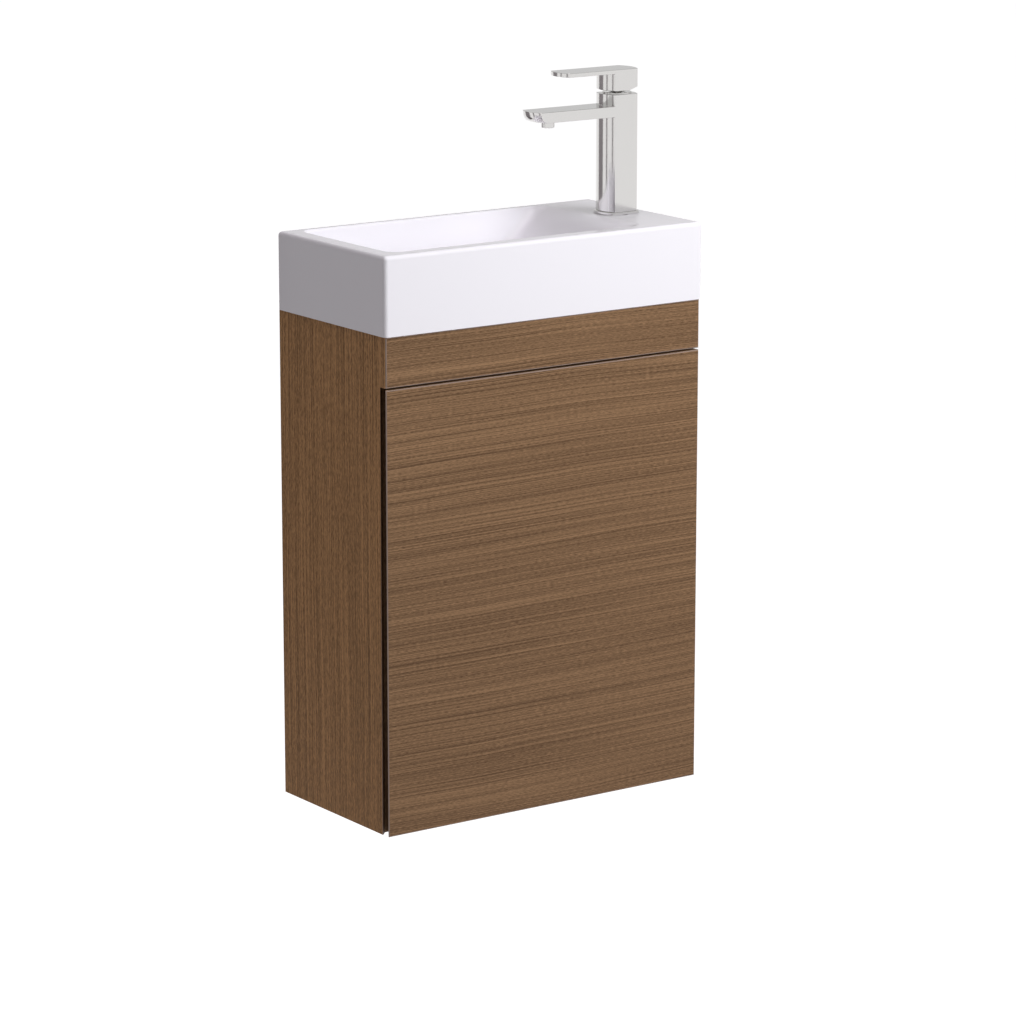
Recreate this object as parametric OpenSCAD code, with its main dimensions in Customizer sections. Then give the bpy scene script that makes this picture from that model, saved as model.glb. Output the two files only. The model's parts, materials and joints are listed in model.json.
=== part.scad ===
// Wall-hung cloakroom vanity: a wood-faced cabinet with one mitred-edge door under a fixed fascia,
// a ceramic basin whose tap deck lies on the right, and a single-lever basin tap.
// Millimetres, +Z up, the front faces -Y and the wall is the plane y = 0. The origin lies on the wall
// between the two fixing holes of the hanging rail.

/* [Cabinet] */
// Width of the cabinet
cab_w = 400; // [380:5:600]
// Height of the cabinet under the basin
cab_h = 528; // [500:1:640]
// Depth from the wall to the face of the door
cab_d = 203; // [200:1:240]
// Thickness of the carcass panels and of the fascia
panel_t = 16; // [15:0.5:18]
// Height of the fixed fascia under the basin
fascia_h = 53; // [45:1:65]
// Chamfer on the arrises of the visible panels
arris = 1; // [0.5:0.1:1.5]
// Thickness of the back panel
back_t = 3; // [2.5:0.5:4]
// Depth of the grooves that hold the back panel
groove = 5.5; // [4:0.5:7]
// Height of the hanging rail
rail_h = 90; // [84:1:96]
// Height of the lower back rail
low_rail_h = 70; // [50:5:90]
// Depth of the stretcher behind the fascia
stretcher_d = 50; // [40:1:55]
// Distance between the two wall-fixing holes
fixing_spacing = 300; // [240:10:320]
// Radius of the wall-fixing holes
fixing_r = 4; // [3:0.5:5]

/* [Door] */
// Thickness of the door
door_t = 16; // [15:0.5:19]
// Gap between the door and the fascia above it, and between the door and the carcass behind it
door_gap = 2; // [1.6:0.1:2.4]
// Width of the finger-pull mouth between the door's arris and the side panel
pull_w = 11; // [9:0.5:13]
// Height of the lower hinge above the cabinet's bottom, and of the upper one below the door's top
hinge_inset = 80; // [70:1:110]
// Radius of the door buffers
buffer_r = 4; // [3:0.5:5]

/* [Cup hinge] */
// Radius of the hinge cup
cup_r = 17.5; // [17:0.1:17.6]
// Depth of the hinge cup
cup_depth = 11.5; // [11:0.1:12]
// Distance from the door's edge to the cup
cup_tab = 5; // [4.8:0.1:5.2]
// Radius of the link pins
link_pin_r = 1.2; // [1:0.1:1.3]
// Running clearance of a link on its pin
pin_play = 0.05; // [0.03:0.01:0.08]
// Play of the inner link's open eye on its cup pin
open_play = 1.55; // [1.4:0.05:1.6]
// Outer link: arm pivot, distance from the door's edge
outer_arm_x = 31.7; // [31.5:0.1:31.9]
// Outer link: arm pivot, distance behind the door's back
outer_arm_y = 16.3; // [16.1:0.1:16.5]
// Outer link: cup pivot, distance from the door's edge
outer_cup_x = 10.5; // [10.4:0.1:10.6]
// Outer link: cup pivot, depth inside the cup
outer_cup_y = 2.6; // [2.5:0.1:2.7]
// Inner link: arm pivot, distance from the door's edge
inner_arm_x = 43.5; // [43.3:0.1:43.7]
// Inner link: arm pivot, distance behind the door's back
inner_arm_y = 4.3; // [4.2:0.1:4.4]
// Inner link: cup pivot, distance from the door's edge
inner_cup_x = 15.4; // [15.3:0.1:15.5]
// Inner link: cup pivot, depth inside the cup
inner_cup_y = 3.2; // [3.1:0.1:3.3]
// Distance of the mounting plate's screws behind the side panel's front edge
plate_setback = 37; // [36:0.5:38]

/* [Shelf] */
// Height of the shelf's underside above the cabinet's bottom
shelf_z = 190; // [150:1:220]
// Depth of the shelf
shelf_d = 135; // [110:1:145]
// Radius of the shelf pins
shelf_pin_r = 2.5; // [2:0.1:3]
// Spacing of the rows of shelf-pin holes
pin_pitch = 32; // [25:1:40]

/* [Basin] */
// Height of the basin
basin_h = 83; // [78:1:100]
// Overhang of the basin past the cabinet at the front and both sides
basin_lap = 2; // [0:0.5:4]
// Rim between the left face and the bowl
rim_left = 21.5; // [16:0.5:30]
// Rim between the front face and the bowl
rim_front = 20; // [16:0.5:26]
// Rim between the bowl and the wall
rim_back = 12; // [12:0.5:24]
// Width of the tap deck on the right
deck_w = 77; // [74:1:90]
// Depth of the bowl under the rim
bowl_depth = 68; // [60:1:70]
// Run of the ramp that rises from the bowl's floor to the tap deck
ramp_run = 75; // [40:1:90]
// Inward slope of the three steep bowl walls over their height
bowl_draft = 6; // [2:0.5:10]
// Thickness of the ceramic walls
ceramic_t = 8; // [6:0.5:9]
// Thickness of the tap deck
deck_t = 10; // [9:0.5:12]
// Rounding of the basin's outer corners and top arrises
basin_r = 3.5; // [2:0.5:5]
// Distance of the waste hole's centre from the cabinet's middle, to the left
waste_left = 60; // [40:1:80]

/* [Waste] */
// Radius of the waste hole in the bowl
waste_hole_r = 23; // [22.5:0.1:24]
// Radius of the waste flange
flange_r = 32; // [30:0.5:34]
// Radius of the waste body's thread
waste_r = 20.9; // [20.5:0.1:21]
// Travel of the click plug
plug_travel = 8; // [5:0.5:10]
// Radius of the outlet pipe and of the inlet tube
pipe_r = 16; // [15:0.5:16.5]
// Wall of the pipes
pipe_wall = 1.8; // [1.5:0.1:2.5]
// Radius of the bottle trap's body
trap_r = 29; // [27:0.5:32]
// Height of the outlet pipe above the cabinet's bottom
outlet_z = 390; // [385:1:396]

/* [Tap] */
// Width of the tap across its flat faces
tap_depth = 35; // [32:0.5:38]
// Length of each flat face
tap_flat = 29; // [27:0.5:32]
// Bulge of the curved faces
tap_bulge = 5; // [3:0.5:6]
// Height of the tap body above the deck
tap_h = 129.7; // [120:0.1:150]
// Distance from the tap's axis to the spout's end
spout_reach = 116; // [105:1:130]
// Thickness of the spout
spout_t = 11.5; // [9:0.5:14]
// Height of the spout's top above the deck
spout_z = 117.5; // [110:0.5:119]
// Angle at which the spout's end slopes back underneath
spout_undercut = 31; // [0:1:35]
// Distance from the tap's axis to the outlet's axis
outlet_reach = 90.5; // [82:0.5:94]
// Radius of the aerator
aerator_r = 7; // [6:0.5:9]
// Thickness of the lever
lever_t = 4.5; // [3.5:0.5:6]
// Distance from the tap's axis to the lever's tip
lever_reach = 79.5; // [60:0.5:90]
// Height of the block under the lever
block_h = 18.5; // [17:0.5:22]
// Angle that the lever lifts through
lift = 18; // [12:1:18]
// Radius of the tap hole in the deck
tap_hole_r = 17.5; // [17:0.5:18]
// Drilled radius of the two inlet tails
inlet_r = 4.6; // [4.4:0.1:4.8]

/* [Hidden] */
$fn = 48;
eps = 0.01;

// Colours of the materials
veneer = [0.50, 0.40, 0.30];
veneer_side = [0.41, 0.30, 0.22];
board_white = [0.88, 0.88, 0.86];
zinc = [0.72, 0.72, 0.74];
chrome = [0.80, 0.80, 0.80];
ceramic = [0.96, 0.96, 0.98];
plastic_white = [0.93, 0.93, 0.92];
rubber_black = [0.10, 0.10, 0.10];

// Planes of the carcass
right_x = cab_w / 2;
inner_x = right_x - panel_t;
front_y = -cab_d;
door_back_y = front_y + door_t;
carcass_y = door_back_y + door_gap;
door_top = cab_h - fascia_h - door_gap;
door_zone_top = cab_h - fascia_h;
back_y = -panel_t - back_t;
fixing_z = cab_h - rail_h / 2;
groove_play = 0.1;

// Cut-out for the waste pipe in the back of the cabinet
pipe_cut_w = 200;
pipe_cut_below = 60;
pipe_cut_play = 5;

// Shelf
shelf_play = 1;
shelf_back_gap = 1;
shelf_pin_len = 8;
shelf_pin_inset = 25;
pin_hole_play = 0.05;
pin_rows = [-1, 0, 1];
shelf_front_y = back_y - shelf_back_gap - shelf_d;
shelf_pin_ys = [shelf_front_y + shelf_pin_inset, back_y - shelf_back_gap - shelf_pin_inset];

// Connecting cams and screws
cam_r = 7.5;
cam_h = 12;
cam_play = 0.1;
cam_inset = 24;
cam_setback = 40;
cam_back = 50;
cam_slot = [8, 1.6, 2];
cup_screw_r = 1.8;
cup_screw_len = 10;
plate_screw_r = 2;
plate_screw_len = 11;
plate_screw_inset = 0.5;
screw_head_r = 3.4;
cup_screw_head_h = 1;
plate_screw_head_h = 1.8;
screw_play = 0.05;

// Hinges, measured from the door's hinge edge (x) and back face (y) in each hinge's own frame
cup_x = cup_tab + cup_r;
cup_wall = 0.9;
cup_bore_play = 0.1;
cup_flange_t = 0.8;
cup_flange_lap = 1;
cup_ear = 6;
cup_screw_x = cup_x + cup_ear;
cup_screw_z = 24;
rim_cut = 0.5;
notch_run = 4;
notch_sink = 0.6;
notch_play = 0.4;
link_w = 2.1;
lug_w = 2.5;
inner_half = 3;
lug_half = [3.2, 4.6];
outer_half = [5, 6.8];
cheek_half = [7.1, 8.3];
crank = [17, 6.75];
link_eye_r = 2.8;
arm_eye_r = 3.2;
hub_eye_r = 3.1;
open_eye_wall = 1.3;
outer_arm = [outer_arm_x, -outer_arm_y];
outer_cup = [outer_cup_x, outer_cup_y];
inner_arm = [inner_arm_x, -inner_arm_y];
inner_cup = [inner_cup_x, inner_cup_y];
// The inner link's eye rests a little off its pin, so that it stays round the pin all the way open
inner_eye = inner_cup + [0.7, 1.05];
hinge_zs = [door_top - hinge_inset, hinge_inset];
plate_y = -door_gap - plate_setback;
plate_t = 2.5;
plate_hole_z = 16;
arm_gauge = 1.2;
arm_back = outer_arm_x + 2.6;
arm_run = 30;
arm_end_y = plate_y - arm_run;
arm_waist_y = -26;
arm_screw_back = 12;
arm_screw_y = plate_y - arm_screw_back;
arm_screw_r = 2;
arm_screw_len = 8;
arm_screw_head_r = 4;
cheek_r = 3;
cheek_shoulder = 0.6;
cheek_lift = 0.5;
seat_play = 0.05;
pin_proud = 0.6;
plate_half_w = 7;
plate_ear = 6;
plate_toe = 8;

// Basin
basin_w = cab_w + 2 * basin_lap;
basin_d = cab_d + basin_lap;
deck_z = cab_h + basin_h;
mouth_r = 12;
floor_r = 14;
floor_z = deck_z - bowl_depth;
waste_x = -waste_left;
waste_y = -basin_d / 2;
recess_t = 3;
recess_play = 0.5;

// Waste and trap
joint_gap = 0.3;
flange_t = 2.5;
waste_bore_r = waste_r - 2.9;
waste_len = 62;
waste_end = floor_z - waste_len;
under_floor = floor_z - ceramic_t;
washer_t = 4;
nut_t = 9;
plug_r = flange_r - 2;
plug_t = 2.5;
plug_crown = 1.5;
plug_crown_run = 5;
plug_step = 2.5;
stem_r = 4;
hub_r = 7;
hub_h = 12;
spoke_w = 3;
spoke_h = 6;
guide_below = 24;
guide_play = 0.05;
thread_play = 0.2;
nut_wall = 5;
coupling_h = 18;
coupling_drop = 7;
coupling_lip = 2;
tube_collar_t = 4;
inlet_drop = 34;
inlet_end = outlet_z - inlet_drop;
trap_rise = 24;
trap_top = outlet_z + trap_rise;
trap_drop = 50;
trap_bottom = outlet_z - trap_drop;
trap_neck_h = 12;
trap_wall = 2.2;
cup_lap = 8;
bowl_top = trap_bottom + cup_lap;
bowl_drop = 40;
bowl_bottom = trap_bottom - bowl_drop;
bowl_step = 3;
bowl_foot_h = 20;
bowl_cone_h = 8;
bowl_rim = 2.5;
socket_r = pipe_r + 3.5;
socket_len = 14;
outlet_socket_y = waste_y + trap_r + socket_len;
outlet_nut_wall = 4;
outlet_nut_lap = 8;
outlet_nut_lip = 4;
outlet_free = -outlet_socket_y - outlet_nut_lip - 0.5;

// Tap
tap_x = basin_w / 2 - deck_w / 2;
tap_y = -basin_d / 2;
tap_r = (pow(tap_depth / 2, 2) + pow(tap_bulge, 2)) / (2 * tap_bulge);
seal_t = 1;
seal_lap = 2;
ring_t = 2.5;
ring_lap = 2.6;
shank_play = 0.1;
shank_short = 4;
body_z = seal_t + ring_t;
cartridge_r = 12.5;
cavity_r = cartridge_r + 0.4;
cavity_depth = 36;
cavity_z = tap_h - cavity_depth;
cartridge_foot = 0.2;
foot_r = 3;
foot_x = 6;
collar_r = 15.9;
collar_t = 1.6;
collar_top = tap_h + collar_t;
collar_thread_play = 0.1;
block_gap = 2.2;
block_z = collar_top + block_gap;
block_bevel_x = 4.5;
block_recess_r = 9.5;
block_recess_h = 2.5;
lever_z = block_z + block_h;
pivot_drop = 7.7;
pivot_z = tap_h - pivot_drop;
pivot_pin_r = 1.5;
rotor_r = 8.5;
rotor_play = 0.3;
rotor_depth = 11.5;
rotor_seat = 12;
rotor_slot = [14, 6];
collar_grip = 4.6;
spindle_w = 7;
spindle_lap = 12;
socket_play = 0.1;
grub_r = 2.5;
grub_z = 6;
grub_len = 10;
hex_r = 1.4;
hex_depth = 3;
aerator_lip = 7;
aerator_wall = 1.2;
aerator_grip = 4;
screen_z = 2;
waterway_top = 4;
stud_y = -9;
stud_r = 4;
stud_len = 45;
stud_grip = 4;
shank_r = tap_hole_r - 1.5;
inlet_x = 7.5;
inlet_y = 4;
inlet_len = 12;
clamp_r = 23;
clamp_slot = 13;
clamp_t = 3;
fixing_nut_r = 7;
fixing_nut_h = 12;

// Moves a piece from cabinet heights, counted from the cabinet's bottom, to the wall-fixing origin
module hung() {
    translate([0, 0, -fixing_z]) children();
}

// Puts a piece drawn in a hinge's own frame at its height on the door
module at_hinge(z) {
    translate([right_x, door_back_y, z]) rotate([0, 0, 180]) children();
}

module at_waste(z = 0) {
    translate([waste_x, waste_y, z]) children();
}

// The outlet's axis runs to the wall
module at_outlet(y) {
    translate([waste_x, y, outlet_z]) rotate([-90, 0, 0]) children();
}

// Heights are counted from the tap deck
module at_tap(z = 0) {
    translate([tap_x, tap_y, deck_z + z]) children();
}

module ring(r_out, r_in, h) {
    difference() {
        cylinder(r = r_out, h = h);
        translate([0, 0, -1]) cylinder(r = r_in, h = h + 2);
    }
}

// Straight board between two corners
module board(x0, x1, y0, y1, z0, z1) {
    translate([x0, y0, z0]) cube([x1 - x0, y1 - y0, z1 - z0]);
}

// Front board whose plan is given, with the upper and lower front arrises chamfered
module faced_board(plan, z0, z1, depth) {
    intersection() {
        translate([0, 0, z0]) linear_extrude(height = z1 - z0) polygon(plan);
        rotate([90, 0, 90]) translate([0, 0, -cab_w]) linear_extrude(height = 2 * cab_w) polygon([
            [front_y + arris, z0], [front_y + depth, z0], [front_y + depth, z1], [front_y + arris, z1],
            [front_y, z1 - arris], [front_y, z0 + arris]
        ]);
    }
}

// Side panel: full depth and mitred to the fascia at the top, cut back behind the door below it
module side_panel(bevel) {
    tip = front_y + arris;
    half_tip = arris / 2;
    difference() {
        union() {
            linear_extrude(height = door_zone_top + eps) polygon([
                [-right_x, 0], [-inner_x, 0], [-inner_x, carcass_y],
                [-right_x + bevel, carcass_y], [-right_x, carcass_y - bevel]
            ]);
            translate([0, 0, door_zone_top]) linear_extrude(height = fascia_h) polygon([
                [-right_x, 0], [-inner_x, 0], [-inner_x, front_y + panel_t],
                [-right_x + half_tip, front_y + half_tip], [-right_x, tip]
            ]);
        }
        // Groove for the back panel
        translate([-inner_x - groove, back_y - groove_play, panel_t - groove])
            cube([groove + 1, back_t + 2 * groove_play, cab_h]);
        // Three rows of shelf-pin holes in two columns
        for (y = shelf_pin_ys, row = pin_rows)
            translate([-inner_x - shelf_pin_len - 1, y, shelf_z - shelf_pin_r + row * pin_pitch])
                rotate([0, 90, 0]) cylinder(r = shelf_pin_r + pin_hole_play, h = shelf_pin_len + 2);
    }
}

module side_panel_left() {
    color(veneer_side) hung() side_panel(carcass_y - front_y - pull_w);
}

module side_panel_right() {
    color(veneer_side) hung() difference() {
        mirror([1, 0, 0]) side_panel(0);
        plate_pilot_holes();
    }
}

module bottom_panel() {
    color(veneer_side) hung() difference() {
        board(-inner_x, inner_x, carcass_y, 0, 0, panel_t);
        translate([-cab_w, back_y - groove_play, panel_t - groove])
            cube([2 * cab_w, back_t + 2 * groove_play, groove + 1]);
        cams_at(0) cylinder(r = cam_r + cam_play, h = 2 * cam_h, center = true);
    }
}

module fascia() {
    half_tip = arris / 2;
    color(veneer) hung() faced_board([
        [-inner_x, front_y + panel_t], [-right_x + half_tip, front_y + half_tip], [-right_x + arris, front_y],
        [right_x - arris, front_y], [right_x - half_tip, front_y + half_tip], [inner_x, front_y + panel_t]
    ], door_zone_top, cab_h, panel_t);
}

module front_stretcher() {
    color(board_white) hung() difference() {
        board(-inner_x, inner_x, carcass_y, carcass_y + stretcher_d, door_zone_top - panel_t, door_zone_top);
        stretcher_cams() cylinder(r = cam_r + cam_play, h = 2 * cam_h, center = true);
    }
}

// Axes of the two wall fixings, drawn from the wall towards the front
module fixings() {
    for (side = [-1, 1])
        translate([side * fixing_spacing / 2, 1, fixing_z]) rotate([90, 0, 0]) children();
}

// Opening round the waste pipe and its nut
module pipe_cut() {
    room = pipe_r + pipe_cut_play;
    board(waste_x - room, waste_x + room, back_y - 1, 1, outlet_z - room, outlet_z + room);
}

module hanging_rail() {
    color(board_white) hung() difference() {
        board(-inner_x, inner_x, -panel_t, 0, cab_h - rail_h, cab_h);
        fixings() cylinder(r = fixing_r, h = panel_t + back_t + 2);
        pipe_cut();
    }
}

module lower_back_rail() {
    color(board_white) hung() board(-inner_x, inner_x, -panel_t, 0, panel_t, panel_t + low_rail_h);
}

// Thin panel in the grooves of both sides and of the bottom, open where the waste pipe leaves
module back_panel() {
    color(board_white) hung() difference() {
        board(-inner_x - groove, inner_x + groove, back_y, -panel_t, panel_t - groove, cab_h);
        board(waste_x - pipe_cut_w / 2, waste_x + pipe_cut_w / 2, back_y - 1, 0,
            outlet_z - pipe_cut_below, cab_h - rail_h);
        fixings() cylinder(r = 2 * fixing_r, h = panel_t + back_t + 2);
        pipe_cut();
    }
}

// Places of the connecting cams under the bottom panel
module cams_at(z) {
    for (side = [-1, 1], y = [carcass_y + cam_setback, -cam_back])
        translate([side * (inner_x - cam_inset), y, z]) children();
}

module stretcher_cams() {
    for (side = [-1, 1])
        translate([side * (inner_x - cam_inset), carcass_y + stretcher_d / 2, door_zone_top - panel_t])
            children();
}

module cam() {
    difference() {
        cylinder(r = cam_r, h = cam_h);
        for (turn = [0, 90])
            rotate([0, 0, turn]) translate([0, 0, cam_slot[2] / 2 - eps])
                cube([cam_slot[0], cam_slot[1], cam_slot[2]], center = true);
    }
}

module connecting_cams() {
    color(zinc) hung() {
        cams_at(0) cam();
        stretcher_cams() cam();
    }
}

module shelf() {
    color(board_white) hung() board(-inner_x + shelf_play, inner_x - shelf_play,
        shelf_front_y, shelf_front_y + shelf_d, shelf_z, shelf_z + panel_t);
}

module shelf_pins() {
    reach = shelf_pin_len;
    color(zinc) hung() for (side = [-1, 1], y = shelf_pin_ys)
        translate([side * inner_x, y, shelf_z - shelf_pin_r])
            rotate([0, 90, 0]) cylinder(r = shelf_pin_r, h = 2 * reach, center = true);
}

// Overlay door: square on the hinge side, mitred on the handle side so that fingers reach behind it
module door_panel() {
    mitre = door_t - arris;
    color(veneer) hung() difference() {
        faced_board([
            [-right_x, front_y + arris], [-right_x + arris, front_y], [right_x - arris, front_y],
            [right_x, front_y + arris], [right_x, door_back_y], [-right_x + mitre, door_back_y]
        ], 0, door_top, door_t);
        for (z = hinge_zs) at_hinge(z) {
            translate([cup_x, -1, 0]) rotate([-90, 0, 0])
                cylinder(r = cup_r + cup_bore_play, h = cup_depth + cup_bore_play + 1);
            for (end = [-1, 1])
                translate([cup_screw_x, -1, end * cup_screw_z]) rotate([-90, 0, 0])
                    cylinder(r = cup_screw_r, h = cup_screw_len + 1);
        }
    }
}

module door_buffers() {
    inset = 30;
    color(plastic_white) hung() for (z = [panel_t / 2, door_top - panel_t / 2 + door_gap / 2])
        translate([-right_x + inset, door_back_y, z])
            rotate([-90, 0, 0]) cylinder(r = buffer_r, h = door_gap - 0.3);
}

// Deep-drawn cup with its screw flange, the two stub pins of the outer link and the lugs of the inner
module hinge_cup() {
    inner_r = cup_r - cup_wall;
    stub_end = sqrt(pow(cup_r - cup_wall / 2, 2) - pow(cup_x - outer_cup_x, 2));
    difference() {
        union() {
            translate([cup_x, 0, 0]) rotate([-90, 0, 0]) cylinder(r = cup_r, h = cup_depth);
            translate([cup_x, -cup_flange_t, 0]) rotate([-90, 0, 0])
                cylinder(r = cup_r + cup_flange_lap, h = cup_flange_t);
            translate([cup_screw_x - cup_ear, -cup_flange_t, -cup_screw_z - cup_ear])
                cube([2 * cup_ear, cup_flange_t, 2 * (cup_screw_z + cup_ear)]);
        }
        translate([cup_x, -1, 0]) rotate([-90, 0, 0]) cylinder(r = inner_r, h = cup_depth);
        translate([0, -2, -cup_r - 2]) cube([cup_tab + rim_cut, 2, 2 * cup_r + 4]);
        // Notch in the rim where the inner link passes over it
        translate([cup_x + cup_r - notch_run, -2, -inner_half - notch_play])
            cube([notch_run + 2, notch_sink + 2, 2 * (inner_half + notch_play)]);
        for (end = [-1, 1])
            translate([cup_screw_x, -2, end * cup_screw_z]) rotate([-90, 0, 0])
                cylinder(r = cup_screw_r + 0.1, h = 4);
    }
    for (side = [0, 1]) mirror([0, 0, side]) {
        translate([outer_cup_x, outer_cup_y, outer_half[0] - 0.1])
            cylinder(r = link_pin_r, h = stub_end - outer_half[0] + 0.1);
        translate([0, 0, lug_half[0]]) linear_extrude(height = lug_half[1] - lug_half[0]) {
            translate([inner_cup_x, inner_cup_y]) circle(r = lug_w);
            translate([inner_cup_x - lug_w, inner_cup_y])
                square([2 * lug_w, cup_depth - cup_wall - inner_cup_y]);
        }
    }
    translate([inner_cup_x, inner_cup_y, -lug_half[1]]) cylinder(r = link_pin_r, h = 2 * lug_half[1]);
}

module hinge_cup_upper() {
    color(zinc) hung() at_hinge(hinge_zs[0]) hinge_cup();
}

module hinge_cup_lower() {
    color(zinc) hung() at_hinge(hinge_zs[1]) hinge_cup();
}

module cup_screws() {
    color(zinc) hung() for (z = hinge_zs, end = [-1, 1]) at_hinge(z)
        translate([cup_screw_x, -cup_flange_t, end * cup_screw_z]) rotate([-90, 0, 0]) {
            translate([0, 0, -cup_screw_head_h]) cylinder(r = screw_head_r, h = cup_screw_head_h);
            translate([0, 0, -eps]) cylinder(r = cup_screw_r - screw_play, h = cup_screw_len);
        }
}

// Flat bar between two points of a plan
module bar(p, q, half) {
    d = q - p;
    translate(p) rotate(atan2(d[1], d[0])) translate([0, -half]) square([norm(d), 2 * half]);
}

// The two side plates of the outer link, cranked so that they reach round the cup's rim
module outer_link() {
    for (side = [0, 1]) mirror([0, 0, side])
        translate([0, 0, outer_half[0]]) linear_extrude(height = outer_half[1] - outer_half[0])
            difference() {
                union() {
                    bar(outer_cup, crank, link_w);
                    bar(crank, outer_arm, link_w);
                    translate(crank) circle(r = link_w);
                    translate(outer_cup) circle(r = link_eye_r);
                    translate(outer_arm) circle(r = arm_eye_r);
                }
                for (p = [outer_cup, outer_arm]) translate(p) circle(r = link_pin_r + pin_play);
            }
}

module hinge_outer_link_upper() {
    color(zinc) hung() at_hinge(hinge_zs[0]) outer_link();
}

module hinge_outer_link_lower() {
    color(zinc) hung() at_hinge(hinge_zs[1]) outer_link();
}

// The inner link: a wide hub on the arm's pin and an open eye round the cup's pin
module inner_link() {
    open_r = link_pin_r + open_play;
    difference() {
        union() {
            translate([0, 0, -inner_half]) linear_extrude(height = 2 * inner_half) {
                bar(inner_eye, inner_arm, link_w);
                translate(inner_eye) circle(r = open_r + open_eye_wall);
            }
            translate([inner_arm[0], inner_arm[1], -outer_half[1]])
                cylinder(r = hub_eye_r, h = 2 * outer_half[1]);
        }
        translate([inner_eye[0], inner_eye[1], -cup_depth]) cylinder(r = open_r, h = 2 * cup_depth);
        translate([inner_arm[0], inner_arm[1], -cup_depth])
            cylinder(r = link_pin_r + pin_play, h = 2 * cup_depth);
    }
}

module hinge_inner_link_upper() {
    color(zinc) hung() at_hinge(hinge_zs[0]) inner_link();
}

module hinge_inner_link_lower() {
    color(zinc) hung() at_hinge(hinge_zs[1]) inner_link();
}

// Folded arm: two cheeks that carry both pins, joined by a web over the mounting plate
module hinge_arm() {
    foot_x = panel_t + plate_t + cheek_lift;
    for (side = [0, 1]) mirror([0, 0, side])
        translate([0, 0, cheek_half[0]]) linear_extrude(height = cheek_half[1] - cheek_half[0]) {
            bar(inner_arm, outer_arm, cheek_r);
            translate(inner_arm) circle(r = cheek_r);
            translate(outer_arm) circle(r = cheek_r);
            polygon([
                outer_arm + [-cheek_r, 0], inner_arm + [cheek_r - cheek_shoulder, -1],
                [arm_back, arm_waist_y], [arm_back, arm_end_y], [foot_x, arm_end_y], [foot_x, arm_waist_y]
            ]);
        }
    difference() {
        translate([arm_back - arm_gauge, arm_end_y, -cheek_half[1]])
            cube([arm_gauge, arm_waist_y - arm_end_y, 2 * cheek_half[1]]);
        translate([0, arm_screw_y, 0]) rotate([0, 90, 0]) cylinder(r = arm_screw_r + 0.2, h = cab_w);
    }
    for (p = [inner_arm, outer_arm])
        translate([p[0], p[1], -cheek_half[1] - pin_proud])
            cylinder(r = link_pin_r, h = 2 * (cheek_half[1] + pin_proud));
}

module hinge_arm_upper() {
    color(zinc) hung() at_hinge(hinge_zs[0]) hinge_arm();
}

module hinge_arm_lower() {
    color(zinc) hung() at_hinge(hinge_zs[1]) hinge_arm();
}

// Winged plate screwed to the side panel, with the raised seat that the arm slides over
module hinge_plate() {
    seat_half = cheek_half[0] - seat_play;
    difference() {
        union() {
            translate([panel_t, plate_y - plate_half_w, -plate_hole_z - plate_ear])
                cube([plate_t, 2 * plate_half_w, 2 * (plate_hole_z + plate_ear)]);
            translate([panel_t, arm_end_y, -seat_half])
                cube([arm_back - arm_gauge - panel_t, plate_y + plate_toe - arm_end_y, 2 * seat_half]);
        }
        for (end = [-1, 1])
            translate([0, plate_y, end * plate_hole_z]) rotate([0, 90, 0])
                cylinder(r = plate_screw_r + 0.1, h = panel_t + plate_t + 1);
        translate([panel_t + plate_t, arm_screw_y, 0]) rotate([0, 90, 0])
            cylinder(r = arm_screw_r + 0.1, h = cab_w);
    }
}

module hinge_plate_upper() {
    color(zinc) hung() at_hinge(hinge_zs[0]) hinge_plate();
}

module hinge_plate_lower() {
    color(zinc) hung() at_hinge(hinge_zs[1]) hinge_plate();
}

module plate_pilot_holes() {
    for (z = hinge_zs, end = [-1, 1]) at_hinge(z)
        translate([panel_t - plate_screw_len, plate_y, end * plate_hole_z]) rotate([0, 90, 0])
            cylinder(r = plate_screw_r, h = plate_screw_len + 1);
}

// Two wood screws through each plate and the short screw that locks each arm on its plate
module plate_screws() {
    color(zinc) hung() for (z = hinge_zs) at_hinge(z) {
        for (end = [-1, 1]) translate([panel_t + plate_t, plate_y, end * plate_hole_z]) rotate([0, 90, 0]) {
            cylinder(r = screw_head_r, h = plate_screw_head_h);
            translate([0, 0, plate_screw_inset - plate_screw_len])
                cylinder(r = plate_screw_r - screw_play, h = plate_screw_len);
        }
        translate([arm_back, arm_screw_y, 0]) rotate([0, 90, 0]) {
            cylinder(r = arm_screw_head_r, h = plate_screw_head_h);
            translate([0, 0, -arm_screw_len]) cylinder(r = arm_screw_r, h = arm_screw_len + eps);
        }
    }
}

// Bowl shape, grown by the wall for its outside: steep on three sides, a ramp towards the tap deck
module bowl_form(grow) {
    left = -basin_w / 2 + rim_left;
    right = basin_w / 2 - deck_w;
    near = -basin_d + rim_front;
    far = -rim_back;
    hull() {
        for (x = [left + mouth_r, right - mouth_r], y = [near + mouth_r, far - mouth_r])
            translate([x, y, deck_z - 1]) cylinder(r = mouth_r + grow, h = 3, $fn = 32);
        for (x = [left + bowl_draft + floor_r, right - ramp_run - floor_r])
            for (y = [near + bowl_draft + floor_r, far - bowl_draft - floor_r])
                translate([x, y, floor_z + floor_r]) sphere(r = floor_r + grow, $fn = 32);
    }
}

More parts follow.
